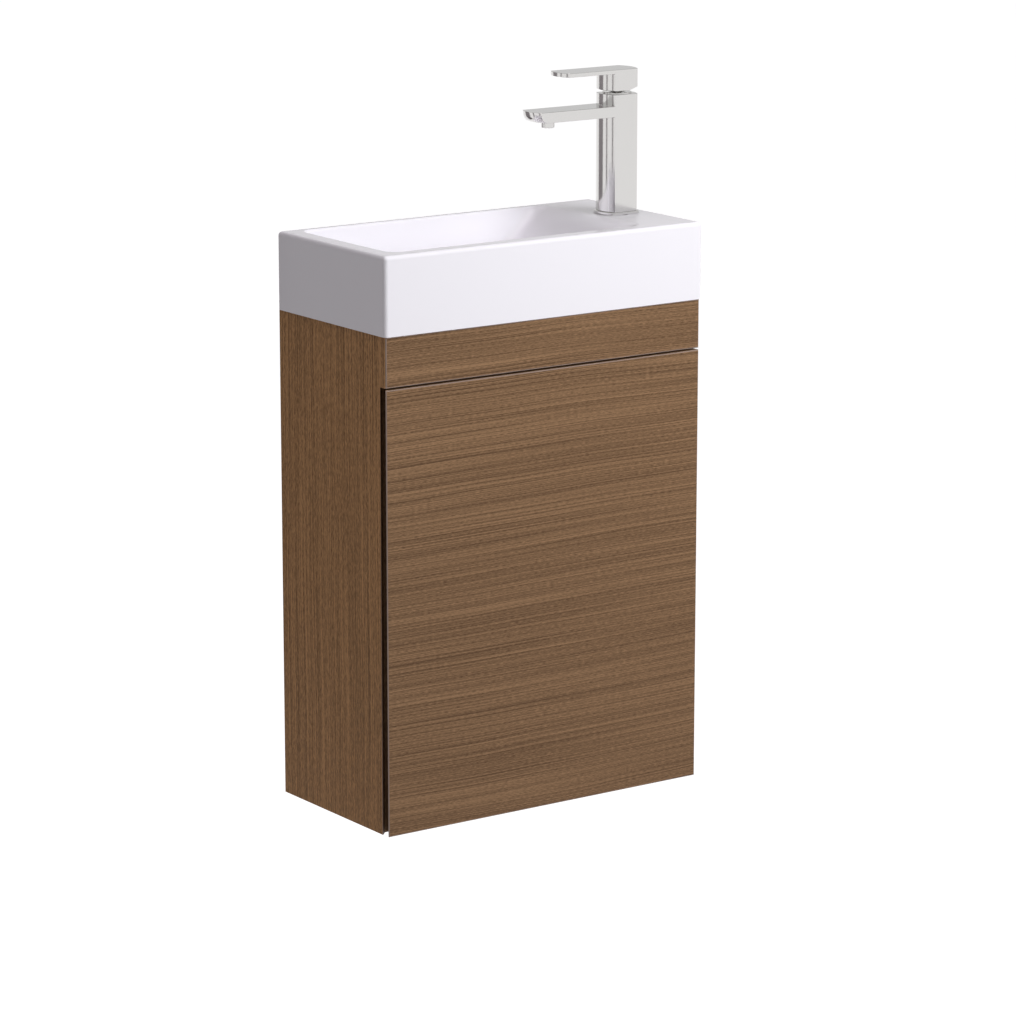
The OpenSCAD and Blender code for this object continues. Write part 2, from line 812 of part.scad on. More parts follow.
module basin() {
    x0 = basin_w / 2 - basin_r;
    ys = [-basin_d + basin_r, -basin_r];
    color(ceramic) hung() difference() {
        hull() for (x = [-x0, x0], y = ys) {
            translate([x, y, cab_h]) cylinder(r = basin_r, h = 1, $fn = 32);
            translate([x, y, deck_z - basin_r]) sphere(r = basin_r, $fn = 32);
            translate([-x0, ys[0], deck_z - 1]) cube([2 * x0, ys[1] - ys[0], 1]);
        }
        // Hollow underside round the bowl
        difference() {
            board(-basin_w / 2 + ceramic_t, basin_w / 2 - ceramic_t, -basin_d + ceramic_t, -ceramic_t,
                cab_h - 1, deck_z - deck_t);
            bowl_form(ceramic_t);
        }
        bowl_form(0);
        at_waste(cab_h - 1) cylinder(r = waste_hole_r, h = basin_h);
        at_waste(floor_z - recess_t) cylinder(r = flange_r + recess_play, h = basin_h);
        at_tap(-2 * deck_t) cylinder(r = tap_hole_r, h = 3 * deck_t);
    }
}

// Flanged waste with a cross bar that guides the plug's stem
module waste_body() {
    color(chrome) hung() at_waste(waste_end) difference() {
        union() {
            difference() {
                union() {
                    cylinder(r = waste_r, h = waste_len - recess_t);
                    translate([0, 0, waste_len - recess_t]) cylinder(r = flange_r, h = flange_t);
                }
                translate([0, 0, -1]) cylinder(r = waste_bore_r, h = 2 * waste_len);
            }
            translate([0, 0, waste_len - guide_below]) {
                cylinder(r = hub_r, h = hub_h);
                for (turn = [0, 90]) rotate([0, 0, turn]) translate([-waste_bore_r - 0.5, -spoke_w / 2, 0])
                    cube([2 * waste_bore_r + 1, spoke_w, spoke_h]);
            }
        }
        translate([0, 0, waste_len - guide_below - 1]) cylinder(r = stem_r + guide_play, h = hub_h + 2);
    }
}

module waste_plug() {
    seat = floor_z - recess_t + flange_t + joint_gap;
    color(chrome) hung() at_waste(seat) {
        cylinder(r = plug_r, h = plug_t);
        translate([0, 0, plug_t - eps]) cylinder(r1 = plug_r, r2 = plug_r - plug_crown_run, h = plug_crown);
        translate([0, 0, -plug_step]) cylinder(r = waste_bore_r - 1, h = plug_step + eps);
        translate([0, 0, -guide_below - plug_travel]) cylinder(r = stem_r, h = guide_below + plug_travel);
    }
}

module waste_washer() {
    color(rubber_black) hung() at_waste(under_floor - washer_t)
        ring(flange_r - 2, waste_r + thread_play, washer_t);
}

module waste_nut() {
    color(zinc) hung() at_waste(under_floor - washer_t - nut_t) difference() {
        cylinder(r = flange_r - 3, h = nut_t, $fn = 8);
        translate([0, 0, -1]) cylinder(r = waste_r + thread_play, h = nut_t + 2, $fn = 48);
    }
}

// Round nut with grip flutes
module fluted_nut(r_out, r_in, h, flutes) {
    flute_r = 1.8;
    flute_sink = 1;
    difference() {
        cylinder(r = r_out, h = h);
        translate([0, 0, -1]) cylinder(r = r_in, h = h + 2);
        for (i = [0 : flutes - 1])
            rotate([0, 0, i * 360 / flutes]) translate([r_out + flute_r - flute_sink, 0, -1])
                cylinder(r = flute_r, h = h + 2, $fn = 16);
    }
}

module trap_coupling_nut() {
    color(plastic_white) hung() at_waste(waste_end - coupling_drop) {
        fluted_nut(waste_r + nut_wall, waste_r + thread_play, coupling_h, 16);
        ring(waste_r + 1, pipe_r + thread_play, coupling_lip);
    }
}

// Tube from the waste down into the bottle, with the collar that the coupling nut pulls up
module trap_inlet_tube() {
    tube_len = waste_end - joint_gap - inlet_end;
    color(plastic_white) hung() at_waste(inlet_end) difference() {
        union() {
            cylinder(r = pipe_r, h = tube_len);
            translate([0, 0, tube_len - tube_collar_t]) cylinder(r = waste_r - 0.5, h = tube_collar_t);
        }
        translate([0, 0, -1]) cylinder(r = pipe_r - pipe_wall, h = tube_len + 2);
    }
}

module trap_body() {
    color(plastic_white) hung() difference() {
        union() {
            at_waste(trap_bottom) cylinder(r = trap_r, h = trap_top - trap_bottom);
            at_waste(trap_top - eps) fluted_nut(pipe_r + nut_wall, pipe_r, trap_neck_h, 12);
            at_outlet(waste_y) cylinder(r = socket_r, h = outlet_socket_y - waste_y);
        }
        at_waste(trap_bottom - 1)
            cylinder(r = trap_r - trap_wall, h = trap_top - trap_wall - trap_bottom + 1);
        at_waste(trap_top - trap_neck_h) cylinder(r = pipe_r + joint_gap, h = 3 * trap_neck_h);
        at_outlet(waste_y) cylinder(r = pipe_r - pipe_wall, h = 3 * trap_r);
        at_outlet(waste_y + trap_r) cylinder(r = pipe_r + joint_gap, h = 3 * trap_r);
    }
}

// Bottom cup that unscrews for cleaning
module trap_bottom_cup() {
    foot_r = trap_r - bowl_step;
    thread_r = trap_r + joint_gap;
    neck_z = bowl_foot_h + bowl_cone_h;
    color(plastic_white) hung() at_waste(bowl_bottom) difference() {
        union() {
            cylinder(r = foot_r, h = bowl_foot_h);
            translate([0, 0, bowl_foot_h]) cylinder(r1 = foot_r, r2 = thread_r + bowl_rim, h = bowl_cone_h);
            translate([0, 0, neck_z]) fluted_nut(thread_r + bowl_rim, 1, bowl_top - bowl_bottom - neck_z, 20);
        }
        translate([0, 0, bowl_step]) cylinder(r = foot_r - bowl_step, h = bowl_top - bowl_bottom);
        translate([0, 0, bowl_drop - joint_gap]) cylinder(r = thread_r, h = bowl_top - bowl_bottom);
    }
}

module trap_outlet_nut() {
    nut_r = socket_r + outlet_nut_wall;
    color(plastic_white) hung() at_outlet(outlet_socket_y - outlet_nut_lap) {
        fluted_nut(nut_r, socket_r + thread_play, outlet_nut_lap, 14);
        translate([0, 0, outlet_nut_lap]) fluted_nut(nut_r, pipe_r + thread_play, outlet_nut_lip, 14);
    }
}

// Pipe to the wall, turned down a little where it lies inside the trap's socket and nut
module outlet_pipe() {
    start = waste_y + trap_r + joint_gap;
    color(plastic_white) hung() at_outlet(0) difference() {
        union() {
            translate([0, 0, start]) cylinder(r = pipe_r - 0.2, h = -start - 1);
            translate([0, 0, -outlet_free]) cylinder(r = pipe_r, h = outlet_free);
        }
        translate([0, 0, start - 1]) cylinder(r = pipe_r - pipe_wall, h = 2 - start);
    }
}

// Plan of the tap: flat faces towards the front and the wall, arcs towards the sides, which can grow
module tap_plan(grow = 0) {
    centre = tap_flat / 2 + tap_bulge - tap_r;
    intersection() {
        translate([centre, 0]) circle(r = tap_r + grow, $fn = 96);
        translate([-centre, 0]) circle(r = tap_r + grow, $fn = 96);
        translate([-tap_r, -tap_depth / 2]) square([2 * tap_r, tap_depth]);
    }
}

module tap_base_seal() {
    color(rubber_black) hung() at_tap() linear_extrude(height = seal_t) difference() {
        tap_plan(seal_lap);
        circle(r = shank_r + shank_play);
    }
}

module tap_base_ring() {
    color(chrome) hung() at_tap(seal_t) linear_extrude(height = ring_t) difference() {
        tap_plan(ring_lap);
        circle(r = shank_r + shank_play);
    }
}

// Plan of an arm that leaves the tap to the left and ends in an arc
module arm_plan(reach) {
    half = tap_depth / 2;
    intersection() {
        translate([-reach, -half]) square([reach, tap_depth]);
        union() {
            translate([-reach + tap_r, 0]) circle(r = tap_r, $fn = 96);
            translate([-reach + tap_r, -half]) square([reach, tap_depth]);
        }
    }
}

// Spout: a flat bar whose rounded end slopes back underneath
module spout() {
    half = tap_depth / 2;
    intersection() {
        translate([-spout_reach, -half, spout_z - spout_t]) cube([spout_reach, tap_depth, spout_t]);
        union() {
            translate([-spout_reach, 0, spout_z]) rotate([0, -spout_undercut, 0]) translate([tap_r, 0, 0])
                cylinder(r = tap_r, h = 6 * spout_t, center = true, $fn = 96);
            translate([-spout_reach + tap_r, -half, 0]) cube([spout_reach, tap_depth, tap_h]);
        }
    }
}

module tap_body() {
    color(chrome) hung() at_tap() difference() {
        union() {
            translate([0, 0, body_z]) linear_extrude(height = tap_h - body_z) tap_plan();
            spout();
            translate([0, 0, shank_short - deck_t]) cylinder(r = shank_r, h = deck_t);
        }
        translate([0, 0, cavity_z]) cylinder(r = cavity_r, h = tap_h);
        translate([-outlet_reach, 0, 0]) cylinder(r = aerator_r - 0.6, h = spout_z - waterway_top);
        for (side = [-1, 1])
            translate([side * inlet_x, inlet_y, -deck_t]) cylinder(r = inlet_r, h = inlet_len + shank_short);
        translate([0, stud_y, -deck_t]) cylinder(r = stud_r + screw_play, h = inlet_len + shank_short);
    }
}

module tap_aerator() {
    color(chrome) hung() at_tap(spout_z - spout_t - aerator_lip) translate([-outlet_reach, 0, 0]) {
        ring(aerator_r, aerator_r - aerator_wall, aerator_lip);
        translate([0, 0, screen_z]) cylinder(r = aerator_r - 1, h = 1);
        translate([0, 0, aerator_lip - eps])
            ring(aerator_r - 0.7, aerator_r - aerator_wall - 0.6, aerator_grip);
    }
}

module tap_cartridge() {
    color(plastic_white) hung() at_tap(cavity_z + cartridge_foot) difference() {
        union() {
            cylinder(r = cartridge_r, h = pivot_z - cavity_z - collar_grip - 0.4);
            for (side = [-1, 1]) translate([side * foot_x, 0, -cartridge_foot]) cylinder(r = foot_r, h = 1);
        }
        translate([0, 0, pivot_z - cavity_z - rotor_seat]) cylinder(r = rotor_r + rotor_play, h = tap_h);
    }
}

// Threaded ring that holds the cartridge down and covers the turning part
module tap_collar() {
    color(chrome) hung() at_tap() difference() {
        union() {
            translate([0, 0, tap_h]) cylinder(r = collar_r, h = collar_t);
            translate([0, 0, pivot_z - collar_grip])
                cylinder(r = cavity_r - collar_thread_play, h = collar_grip + pivot_drop + collar_t / 2);
        }
        translate([0, 0, cavity_z]) cylinder(r = rotor_r + rotor_play, h = tap_h);
    }
}

// Turning part of the cartridge, slotted for the spindle, with the pin that the spindle tilts on
module tap_rotor() {
    bottom = pivot_z - rotor_depth;
    color(plastic_white) hung() at_tap() {
        difference() {
            translate([0, 0, bottom]) cylinder(r = rotor_r, h = collar_top - 0.4 - bottom);
            translate([-rotor_slot[1], -spindle_w / 2 - rotor_play, pivot_z - rotor_slot[1]])
                cube([rotor_slot[0], spindle_w + 2 * rotor_play, tap_h]);
        }
        translate([0, -rotor_r + 1, pivot_z]) rotate([-90, 0, 0])
            cylinder(r = pivot_pin_r, h = 2 * rotor_r - 2);
    }
}

module tap_spindle() {
    color(zinc) hung() at_tap(pivot_z) difference() {
        union() {
            translate([-spindle_w / 2, -spindle_w / 2, 0])
                cube([spindle_w, spindle_w, block_z - pivot_z + spindle_lap]);
            rotate([90, 0, 0]) cylinder(r = spindle_w / 2, h = spindle_w, center = true);
        }
        rotate([90, 0, 0]) cylinder(r = pivot_pin_r + pin_play, h = 2 * spindle_w, center = true);
    }
}

// Lever and its block in one casting, bevelled underneath at the back so that it can lift
module tap_lever() {
    socket_w = spindle_w + 2 * socket_play;
    color(chrome) hung() at_tap() difference() {
        union() {
            translate([0, 0, block_z]) linear_extrude(height = block_h + lever_t) tap_plan();
            translate([0, 0, lever_z]) linear_extrude(height = lever_t) arm_plan(lever_reach);
        }
        translate([block_bevel_x, -tap_depth, block_z]) rotate([0, -lift, 0]) translate([0, 0, -block_h])
            cube([2 * tap_flat, 2 * tap_depth, block_h]);
        translate([-socket_w / 2, -socket_w / 2, block_z - 1])
            cube([socket_w, socket_w, spindle_lap + 1 + 2 * socket_play]);
        translate([0, 0, block_z + grub_z]) rotate([0, 90, 0])
            cylinder(r = grub_r + screw_play, h = tap_depth);
        translate([0, 0, block_z - 1]) cylinder(r = block_recess_r, h = block_recess_h + 1);
    }
}

module tap_grub_screw() {
    color(zinc) hung() at_tap(block_z + grub_z) translate([spindle_w / 2 + screw_play, 0, 0])
        rotate([0, 90, 0]) difference() {
            cylinder(r = grub_r, h = grub_len);
            translate([0, 0, grub_len - hex_depth]) cylinder(r = hex_r, h = hex_depth + 1, $fn = 6);
        }
}

module tap_stud() {
    color(zinc) hung() at_tap(-stud_len) translate([0, stud_y, 0])
        cylinder(r = stud_r, h = stud_len + stud_grip);
}

// U-shaped clamp washer under the deck, open towards the wall for the supply tails
module tap_horseshoe_washer() {
    color(zinc) hung() at_tap(-deck_t - clamp_t) linear_extrude(height = clamp_t) difference() {
        circle(r = clamp_r);
        translate([-clamp_slot, -2]) square([2 * clamp_slot, 2 * clamp_r]);
        translate([0, stud_y]) circle(r = stud_r + thread_play);
    }
}

module tap_fixing_nut() {
    color(zinc) hung() at_tap(-deck_t - clamp_t - fixing_nut_h) translate([0, stud_y, 0]) difference() {
        cylinder(r = fixing_nut_r, h = fixing_nut_h, $fn = 6);
        translate([0, 0, -1]) cylinder(r = stud_r + screw_play, h = fixing_nut_h + 2, $fn = 48);
    }
}

side_panel_left();
side_panel_right();
bottom_panel();
fascia();
front_stretcher();
hanging_rail();
lower_back_rail();
back_panel();
connecting_cams();
shelf();
shelf_pins();
door_panel();
door_buffers();
hinge_cup_upper();
hinge_cup_lower();
cup_screws();
hinge_outer_link_upper();
hinge_outer_link_lower();
hinge_inner_link_upper();
hinge_inner_link_lower();
hinge_arm_upper();
hinge_arm_lower();
hinge_plate_upper();
hinge_plate_lower();
plate_screws();
basin();
waste_body();
waste_plug();
waste_washer();
waste_nut();
trap_coupling_nut();
trap_inlet_tube();
trap_body();
trap_bottom_cup();
trap_outlet_nut();
outlet_pipe();
tap_base_seal();
tap_base_ring();
tap_body();
tap_aerator();
tap_cartridge();
tap_collar();
tap_rotor();
tap_spindle();
tap_lever();
tap_grub_screw();
tap_stud();
tap_horseshoe_washer();
tap_fixing_nut();
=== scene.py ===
"""Wall-hung vanity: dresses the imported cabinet, basin and tap. An add-on in layout, run as a script."""

import json  # noqa: E402
import math  # noqa: E402

import bmesh  # noqa: E402
import bpy  # noqa: E402
from bpy.props import FloatProperty, FloatVectorProperty, PointerProperty  # noqa: E402
from mathutils import Matrix, Vector  # noqa: E402


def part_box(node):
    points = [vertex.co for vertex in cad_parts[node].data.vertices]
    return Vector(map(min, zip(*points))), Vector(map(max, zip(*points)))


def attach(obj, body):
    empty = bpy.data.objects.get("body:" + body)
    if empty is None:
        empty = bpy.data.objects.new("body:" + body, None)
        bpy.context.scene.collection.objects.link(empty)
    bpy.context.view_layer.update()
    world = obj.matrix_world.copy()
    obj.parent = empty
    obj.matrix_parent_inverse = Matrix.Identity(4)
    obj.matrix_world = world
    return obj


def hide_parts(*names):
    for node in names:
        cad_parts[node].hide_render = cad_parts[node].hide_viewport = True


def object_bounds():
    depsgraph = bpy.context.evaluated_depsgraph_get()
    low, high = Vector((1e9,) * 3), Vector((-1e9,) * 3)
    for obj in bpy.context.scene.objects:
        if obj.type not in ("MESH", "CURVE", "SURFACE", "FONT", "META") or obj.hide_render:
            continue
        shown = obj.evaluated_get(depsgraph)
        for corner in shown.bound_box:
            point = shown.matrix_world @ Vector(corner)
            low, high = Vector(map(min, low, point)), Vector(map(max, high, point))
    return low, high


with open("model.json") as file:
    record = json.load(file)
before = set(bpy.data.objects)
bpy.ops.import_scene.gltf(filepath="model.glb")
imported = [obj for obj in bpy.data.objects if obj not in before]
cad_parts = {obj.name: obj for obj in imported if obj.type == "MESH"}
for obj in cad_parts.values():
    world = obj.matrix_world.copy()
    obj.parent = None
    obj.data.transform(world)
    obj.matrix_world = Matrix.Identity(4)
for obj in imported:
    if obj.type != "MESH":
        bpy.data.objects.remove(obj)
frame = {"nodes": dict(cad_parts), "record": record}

bl_info = {
    "name": "Wall-Hung Vanity",
    "version": (1, 0, 0),
    "blender": (4, 5, 0),
    "location": "3D View > Sidebar > Vanity",
    "description": "Builds the ceramic basin, the chrome tap and the wood-faced boards of a wall-hung vanity",
    "category": "Object",
}

MM = 0.001
X, Y, Z = range(3)
CAD_BOX = [list(corner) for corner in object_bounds()]
# How far the grain's noise strays from its middle before the darkest and the lightest tone are reached
GRAIN_SPREAD = 0.088
# How much further a board's knife edge is eased than its square ones
KNIFE_EDGE = 2.4
# A board's faces meet at a knife edge where they turn by more than the first of these, and at any other arris
# where they turn by more than the second, in degrees
KNIFE_TURN, ARRIS_TURN = 130, 25
# Faces narrower than this in mm are the edging on a board's arrises, coloured paler as a painted highlight
EDGING_WIDTH = 1.6
# Radius of the tap's shank, which goes through the deck, and its play in the rings round it, in mm
TAP_SHANK, SHANK_PLAY = 16, 0.1
# How far a cutting solid reaches past the piece that it cuts, in mm
OVERCUT = 5
# Turn of each grey card from straight behind the tap in degrees, and its width in mm
GREY_CARDS = ((29, 600), (63, 120), (89, 100))


def linear(code, factor=1.0):
    """Turns an sRGB hex colour such as "7c614a" into linear RGBA, made lighter or darker by a factor."""
    parts = [int(code[i:i + 2], 16) / 255 for i in (0, 2, 4)]
    return [factor * (c / 12.92 if c <= 0.04045 else ((c + 0.055) / 1.055) ** 2.4) for c in parts] + [1.0]


FRONT_TONES = [linear(code) for code in ("5a432f", "7b5f45", "977758")]
# Tones of the same foil, painted lighter and more orange for the side panels and level faces to make up for
# the shade they are in; the real foil has the front's tones
SIDE_TONES_PAINTED_LIGHTER = [linear(code) for code in ("805e3a", "ab8054", "d09f6d")]


def node(tree, kind, inputs=None, feeds=None, stops=(), **settings):
    """Adds a node with its settings, its links and, on a colour ramp, its (position, colour) stops.

    An input is linked where a socket is given, and set where a value is. The first output goes to feeds.
    """
    made = tree.nodes.new(kind)
    for key, value in settings.items():
        setattr(made, key, value)
    for key, value in (inputs or {}).items():
        if isinstance(value, bpy.types.NodeSocket):
            tree.links.new(value, made.inputs[key])
        else:
            made.inputs[key].default_value = value
    for _ in stops[2:]:
        made.color_ramp.elements.new(0.5)
    for place, (position, colour) in enumerate(stops):
        made.color_ramp.elements[place].position = position
        made.color_ramp.elements[place].color = colour
    if feeds:
        tree.links.new(made.outputs[0], feeds)
    return made


def new_material(name, sockets):
    """Starts a material and gives back it, its node tree, its shader and its object coordinates."""
    mat = bpy.data.materials.new(name)
    mat.use_nodes = True
    tree = mat.node_tree
    shader = tree.nodes["Principled BSDF"]
    for key, value in sockets.items():
        shader.inputs[key].default_value = value
    return mat, tree, shader, node(tree, "ShaderNodeTexCoord").outputs["Object"]


def wood_foil(name, along, facing, tones, shift, breadth):
    """Wood-grain decor foil pressed on board: matt, with fine embossed lines that wander along one axis.

    The pattern hardly changes along the axis that the board faces, so that the lines run on as they wander.
    The shift gives each foil a part of the pattern to itself, and the breadth widens every mark.
    """
    mat, tree, shader, coords = new_material(name, {"Roughness": 0.55, "IOR": 1.5,
                                                    "Specular IOR Level": 0.18})
    moved = node(tree, "ShaderNodeMapping", {"Vector": coords, "Location": (shift, shift, shift)})
    # The lines wander by a few millimetres over a hand's breadth, as crown-cut grain does
    wander = node(tree, "ShaderNodeTexNoise", {"Vector": moved.outputs["Vector"], "Scale": 4.0,
                                               "Detail": 1.0})
    bent = node(tree, "ShaderNodeVectorMath", {0: wander.outputs["Color"], 1: (0.01, 0.01, 0.01),
                                               2: moved.outputs["Vector"]}, operation="MULTIPLY_ADD")

    def grain(length, width, detail):
        """Noise whose marks have this length along the grain and this width across it, in mm."""
        scale = [1000 / width / breadth] * 3
        scale[facing] *= 0.02
        scale[along] = 1000 / length
        stretched = node(tree, "ShaderNodeMapping", {"Vector": bent.outputs[0], "Scale": scale})
        return node(tree, "ShaderNodeTexNoise", {"Vector": stretched.outputs["Vector"], "Scale": 1.0,
                                                 "Detail": detail, "Roughness": 0.62}).outputs["Fac"]

    bands = grain(length=500, width=40, detail=1)
    streaks = grain(length=500, width=2.6, detail=2)
    lines = grain(length=400, width=0.6, detail=1)
    # The real pores are finer, and are drawn this coarse so that they show at the size of the picture
    pores = grain(length=5, width=0.5, detail=1)
    fine = node(tree, "ShaderNodeMix", {"Factor": 0.45, 2: lines, 3: pores}, data_type="FLOAT").outputs[0]
    broad = node(tree, "ShaderNodeMix", {"Factor": 0.4, 2: streaks, 3: bands}, data_type="FLOAT").outputs[0]
    figure = node(tree, "ShaderNodeMix", {"Factor": 0.12, 2: fine, 3: broad}, data_type="FLOAT").outputs[0]
    node(tree, "ShaderNodeValToRGB", {"Fac": figure}, shader.inputs["Base Color"],
         list(zip((0.5 - GRAIN_SPREAD, 0.5, 0.5 + GRAIN_SPREAD), tones)))
    node(tree, "ShaderNodeBump", {"Height": figure, "Strength": 0.35, "Distance": 0.15 * MM},
         shader.inputs["Normal"])
    return mat


def edge_band_painted_highlight(name, colour):
    """Thin edging strip of ABS on the boards' arrises: smoother than the foil, so it catches the light, and
    coloured paler and greyer than the foil as a painted highlight along the arrises.

    It is rubbed paler in patches about 17 mm long.
    """
    mat, tree, shader, coords = new_material(name, {"Roughness": 0.35, "IOR": 1.53})
    rubbed = node(tree, "ShaderNodeTexNoise", {"Vector": coords, "Scale": 60.0, "Detail": 3.0}).outputs["Fac"]
    node(tree, "ShaderNodeValToRGB", {"Fac": rubbed}, shader.inputs["Base Color"],
         [(0.4, linear(colour)), (0.65, linear(colour, 1.12))])
    return mat


def glaze(name, colour):
    """Vitreous china, slip-cast and glazed: a clear glossy skin with faint ripples about 45 mm long."""
    mat, tree, shader, coords = new_material(name, {"Roughness": 0.1, "IOR": 1.52,
                                                    "Base Color": linear(colour)})
    ripple = node(tree, "ShaderNodeTexNoise", {"Vector": coords, "Scale": 22.0, "Detail": 2.0,
                                               "Roughness": 0.4})
    node(tree, "ShaderNodeBump", {"Height": ripple.outputs["Fac"], "Strength": 0.06, "Distance": 2 * MM},
         shader.inputs["Normal"])
    return mat


def chrome_plate(name, colour, roughness):
    """Chrome on cast brass, polished: a mirror with a faint polishing haze in clouds about 11 mm wide."""
    mat, tree, shader, coords = new_material(name, {"Metallic": 1.0, "Base Color": linear(colour)})
    haze = node(tree, "ShaderNodeTexNoise", {"Vector": coords, "Scale": 90.0, "Detail": 3.0})
    node(tree, "ShaderNodeMapRange", {"Value": haze.outputs["Fac"], "To Min": roughness * 0.8,
                                      "To Max": roughness * 1.2}, shader.inputs["Roughness"])
    return mat


def nickel_steel(name, colour):
    """Nickel-plated pressed steel: greyish, satin, with rolling marks 5 mm long and 0.4 mm apart."""
    mat, tree, shader, coords = new_material(name, {"Metallic": 1.0, "Base Color": linear(colour)})
    rolled = node(tree, "ShaderNodeMapping", {"Vector": coords, "Scale": (200, 200, 2500)})
    marks = node(tree, "ShaderNodeTexNoise", {"Vector": rolled.outputs["Vector"], "Scale": 1.0,
                                              "Detail": 3.0})
    node(tree, "ShaderNodeMapRange", {"Value": marks.outputs["Fac"], "To Min": 0.26, "To Max": 0.42},
         shader.inputs["Roughness"])
    return mat


def moulded_plastic(name, colour):
    """Polypropylene, injection moulded: slightly waxy and uneven in colour, with a spark-eroded texture.

    The real grit is finer than 0.1 mm, and is drawn 0.6 mm wide so that it shows.
    """
    mat, tree, shader, coords = new_material(name, {"Roughness": 0.38, "IOR": 1.49})
    grit = node(tree, "ShaderNodeTexNoise", {"Vector": coords, "Scale": 1600.0, "Detail": 2.0}).outputs["Fac"]
    cloud = node(tree, "ShaderNodeTexNoise", {"Vector": coords, "Scale": 14.0, "Detail": 2.0}).outputs["Fac"]
    node(tree, "ShaderNodeValToRGB", {"Fac": cloud}, shader.inputs["Base Color"],
         [(0.35, linear(colour, 0.94)), (0.65, linear(colour))])
    node(tree, "ShaderNodeBump", {"Height": grit, "Strength": 0.12, "Distance": 0.2 * MM},
         shader.inputs["Normal"])
    return mat


def melamine(name, colour):
    """White melamine-faced board: matt paper foil, faintly clouded, with a pearl emboss of 0.7 mm."""
    mat, tree, shader, coords = new_material(name, {"Roughness": 0.5, "IOR": 1.5})
    pearl = node(tree, "ShaderNodeTexVoronoi", {"Vector": coords, "Scale": 1400.0}, feature="SMOOTH_F1")
    cloud = node(tree, "ShaderNodeTexNoise", {"Vector": coords, "Scale": 6.0, "Detail": 3.0}).outputs["Fac"]
    node(tree, "ShaderNodeValToRGB", {"Fac": cloud}, shader.inputs["Base Color"],
         [(0.3, linear(colour, 0.95)), (0.7, linear(colour))])
    node(tree, "ShaderNodeBump", {"Height": pearl.outputs["Distance"], "Strength": 0.1, "Distance": 0.2 * MM},
         shader.inputs["Normal"])
    return mat


def rubber(name, colour):
    """Black moulded rubber: dull, with a chalky bloom in specks about 4 mm wide."""
    mat, tree, shader, coords = new_material(name, {"Roughness": 0.8, "IOR": 1.52, "Specular IOR Level": 0.3})
    bloom = node(tree, "ShaderNodeTexNoise", {"Vector": coords, "Scale": 240.0, "Detail": 4.0}).outputs["Fac"]
    node(tree, "ShaderNodeValToRGB", {"Fac": bloom}, shader.inputs["Base Color"],
         [(0.4, linear(colour)), (0.8, linear(colour, 2.2))])
    return mat


MATERIALS = {}


def finish_of(slot):
    """The material of a record slot, made on first use."""
    if slot not in MATERIALS:
        chosen = bpy.context.scene.vanity_colours
        # A wood foil has its grain's axis, the axis that its faces look along, its tones, shift and breadth
        makers = {
            "front_veneer": lambda: wood_foil("walnut_foil_horizontal", X, Y, FRONT_TONES, 3.1, 1.0),
            # The side foil takes the tones painted lighter against its shade
            "side_veneer": lambda: wood_foil("walnut_foil_vertical_painted_lighter", Z, X, SIDE_TONES_PAINTED_LIGHTER, 7.7, 1.7),
            # Paler and greyer than the foil: the edging is real, its paleness is a painted highlight on the
            # arrises
            "edge_strip": lambda: edge_band_painted_highlight("abs_edging_walnut_painted_highlight", "917c6f"),
            "front_ends": lambda: wood_foil("walnut_foil_on_upright_ends", Z, X, FRONT_TONES, 5.3, 1.0),
            "front_edges": lambda: wood_foil("walnut_foil_on_level_edges", X, Z, FRONT_TONES, 4.2, 1.0),
            "carcass_edges": lambda: wood_foil("walnut_foil_on_upright_edges", Z, Y, FRONT_TONES, 6.4, 1.0),
            # Painted lighter against the shade, as the side foil is
            "level_faces": lambda: wood_foil("walnut_foil_on_level_faces_painted_lighter", X, Z, SIDE_TONES_PAINTED_LIGHTER, 9.1, 1.0),
            "white_board": lambda: melamine("melamine_white_pressed", "eceae4"),
            "plated_steel": lambda: nickel_steel("nickel_plated_steel_pressed", "c4c2bd"),
            "glazed_ceramic": lambda: glaze("vitreous_china_glazed", "f3f1f6"),
            "chrome": lambda: chrome_plate("chrome_polished", "d8d7d5", chosen.chrome_roughness),
            "white_plastic": lambda: moulded_plastic("polypropylene_moulded", "efeeea"),
            "black_rubber": lambda: rubber("rubber_moulded", "1c1b1a"),
        }
        MATERIALS[slot] = makers[slot]()
    return MATERIALS[slot]


def make_piece(name, bm, body, slot, replaces=(), smooth_angle=35.0, finishes=()):
    """Turns a bmesh into a finished piece that rides on a body, with smooth faces between its sharp edges.

    It has the finish of its slot, or the finishes given, which its faces choose from.
    """
    bmesh.ops.recalc_face_normals(bm, faces=bm.faces[:])
    mesh = bpy.data.meshes.new(name)
    bm.to_mesh(mesh)
    bm.free()
    for face in mesh.polygons:
        face.use_smooth = True
    mesh.set_sharp_from_angle(angle=math.radians(smooth_angle))
    piece = bpy.data.objects.new(name, mesh)
    bpy.context.scene.collection.objects.link(piece)
    for finish in finishes or (slot,):
        mesh.materials.append(finish_of(finish))
    weighted = piece.modifiers.new("weighted_normals", "WEIGHTED_NORMAL")
    weighted.keep_sharp = True
    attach(piece, body)
    if replaces:
        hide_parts(*replaces)
    return piece


def box_in_mm(cad_node):
    """Lowest and highest corner of a CAD node, in mm."""
    low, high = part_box(cad_node)
    return low / MM, high / MM


def add_box(bm, low, high):
    """Cube between two corners in mm; gives back its vertices."""
    low, high = Vector(low) * MM, Vector(high) * MM
    verts = bmesh.ops.create_cube(bm, size=1.0)["verts"]
    bmesh.ops.scale(bm, vec=high - low, verts=verts)
    bmesh.ops.translate(bm, vec=(low + high) / 2, verts=verts)
    return verts


def bevel(bm, edges, width, segments):
    """Rounds edges by a width in mm."""
    bmesh.ops.bevel(bm, geom=list(edges), offset=width * MM, offset_type="OFFSET", segments=segments,
                    profile=0.5, affect="EDGES", clamp_overlap=True, material=-1)


def sharp_edges(bm, degrees):
    """Edges whose two faces turn by more than an angle."""
    return [e for e in bm.edges if len(e.link_faces) == 2 and e.calc_face_angle(0) > math.radians(degrees)]


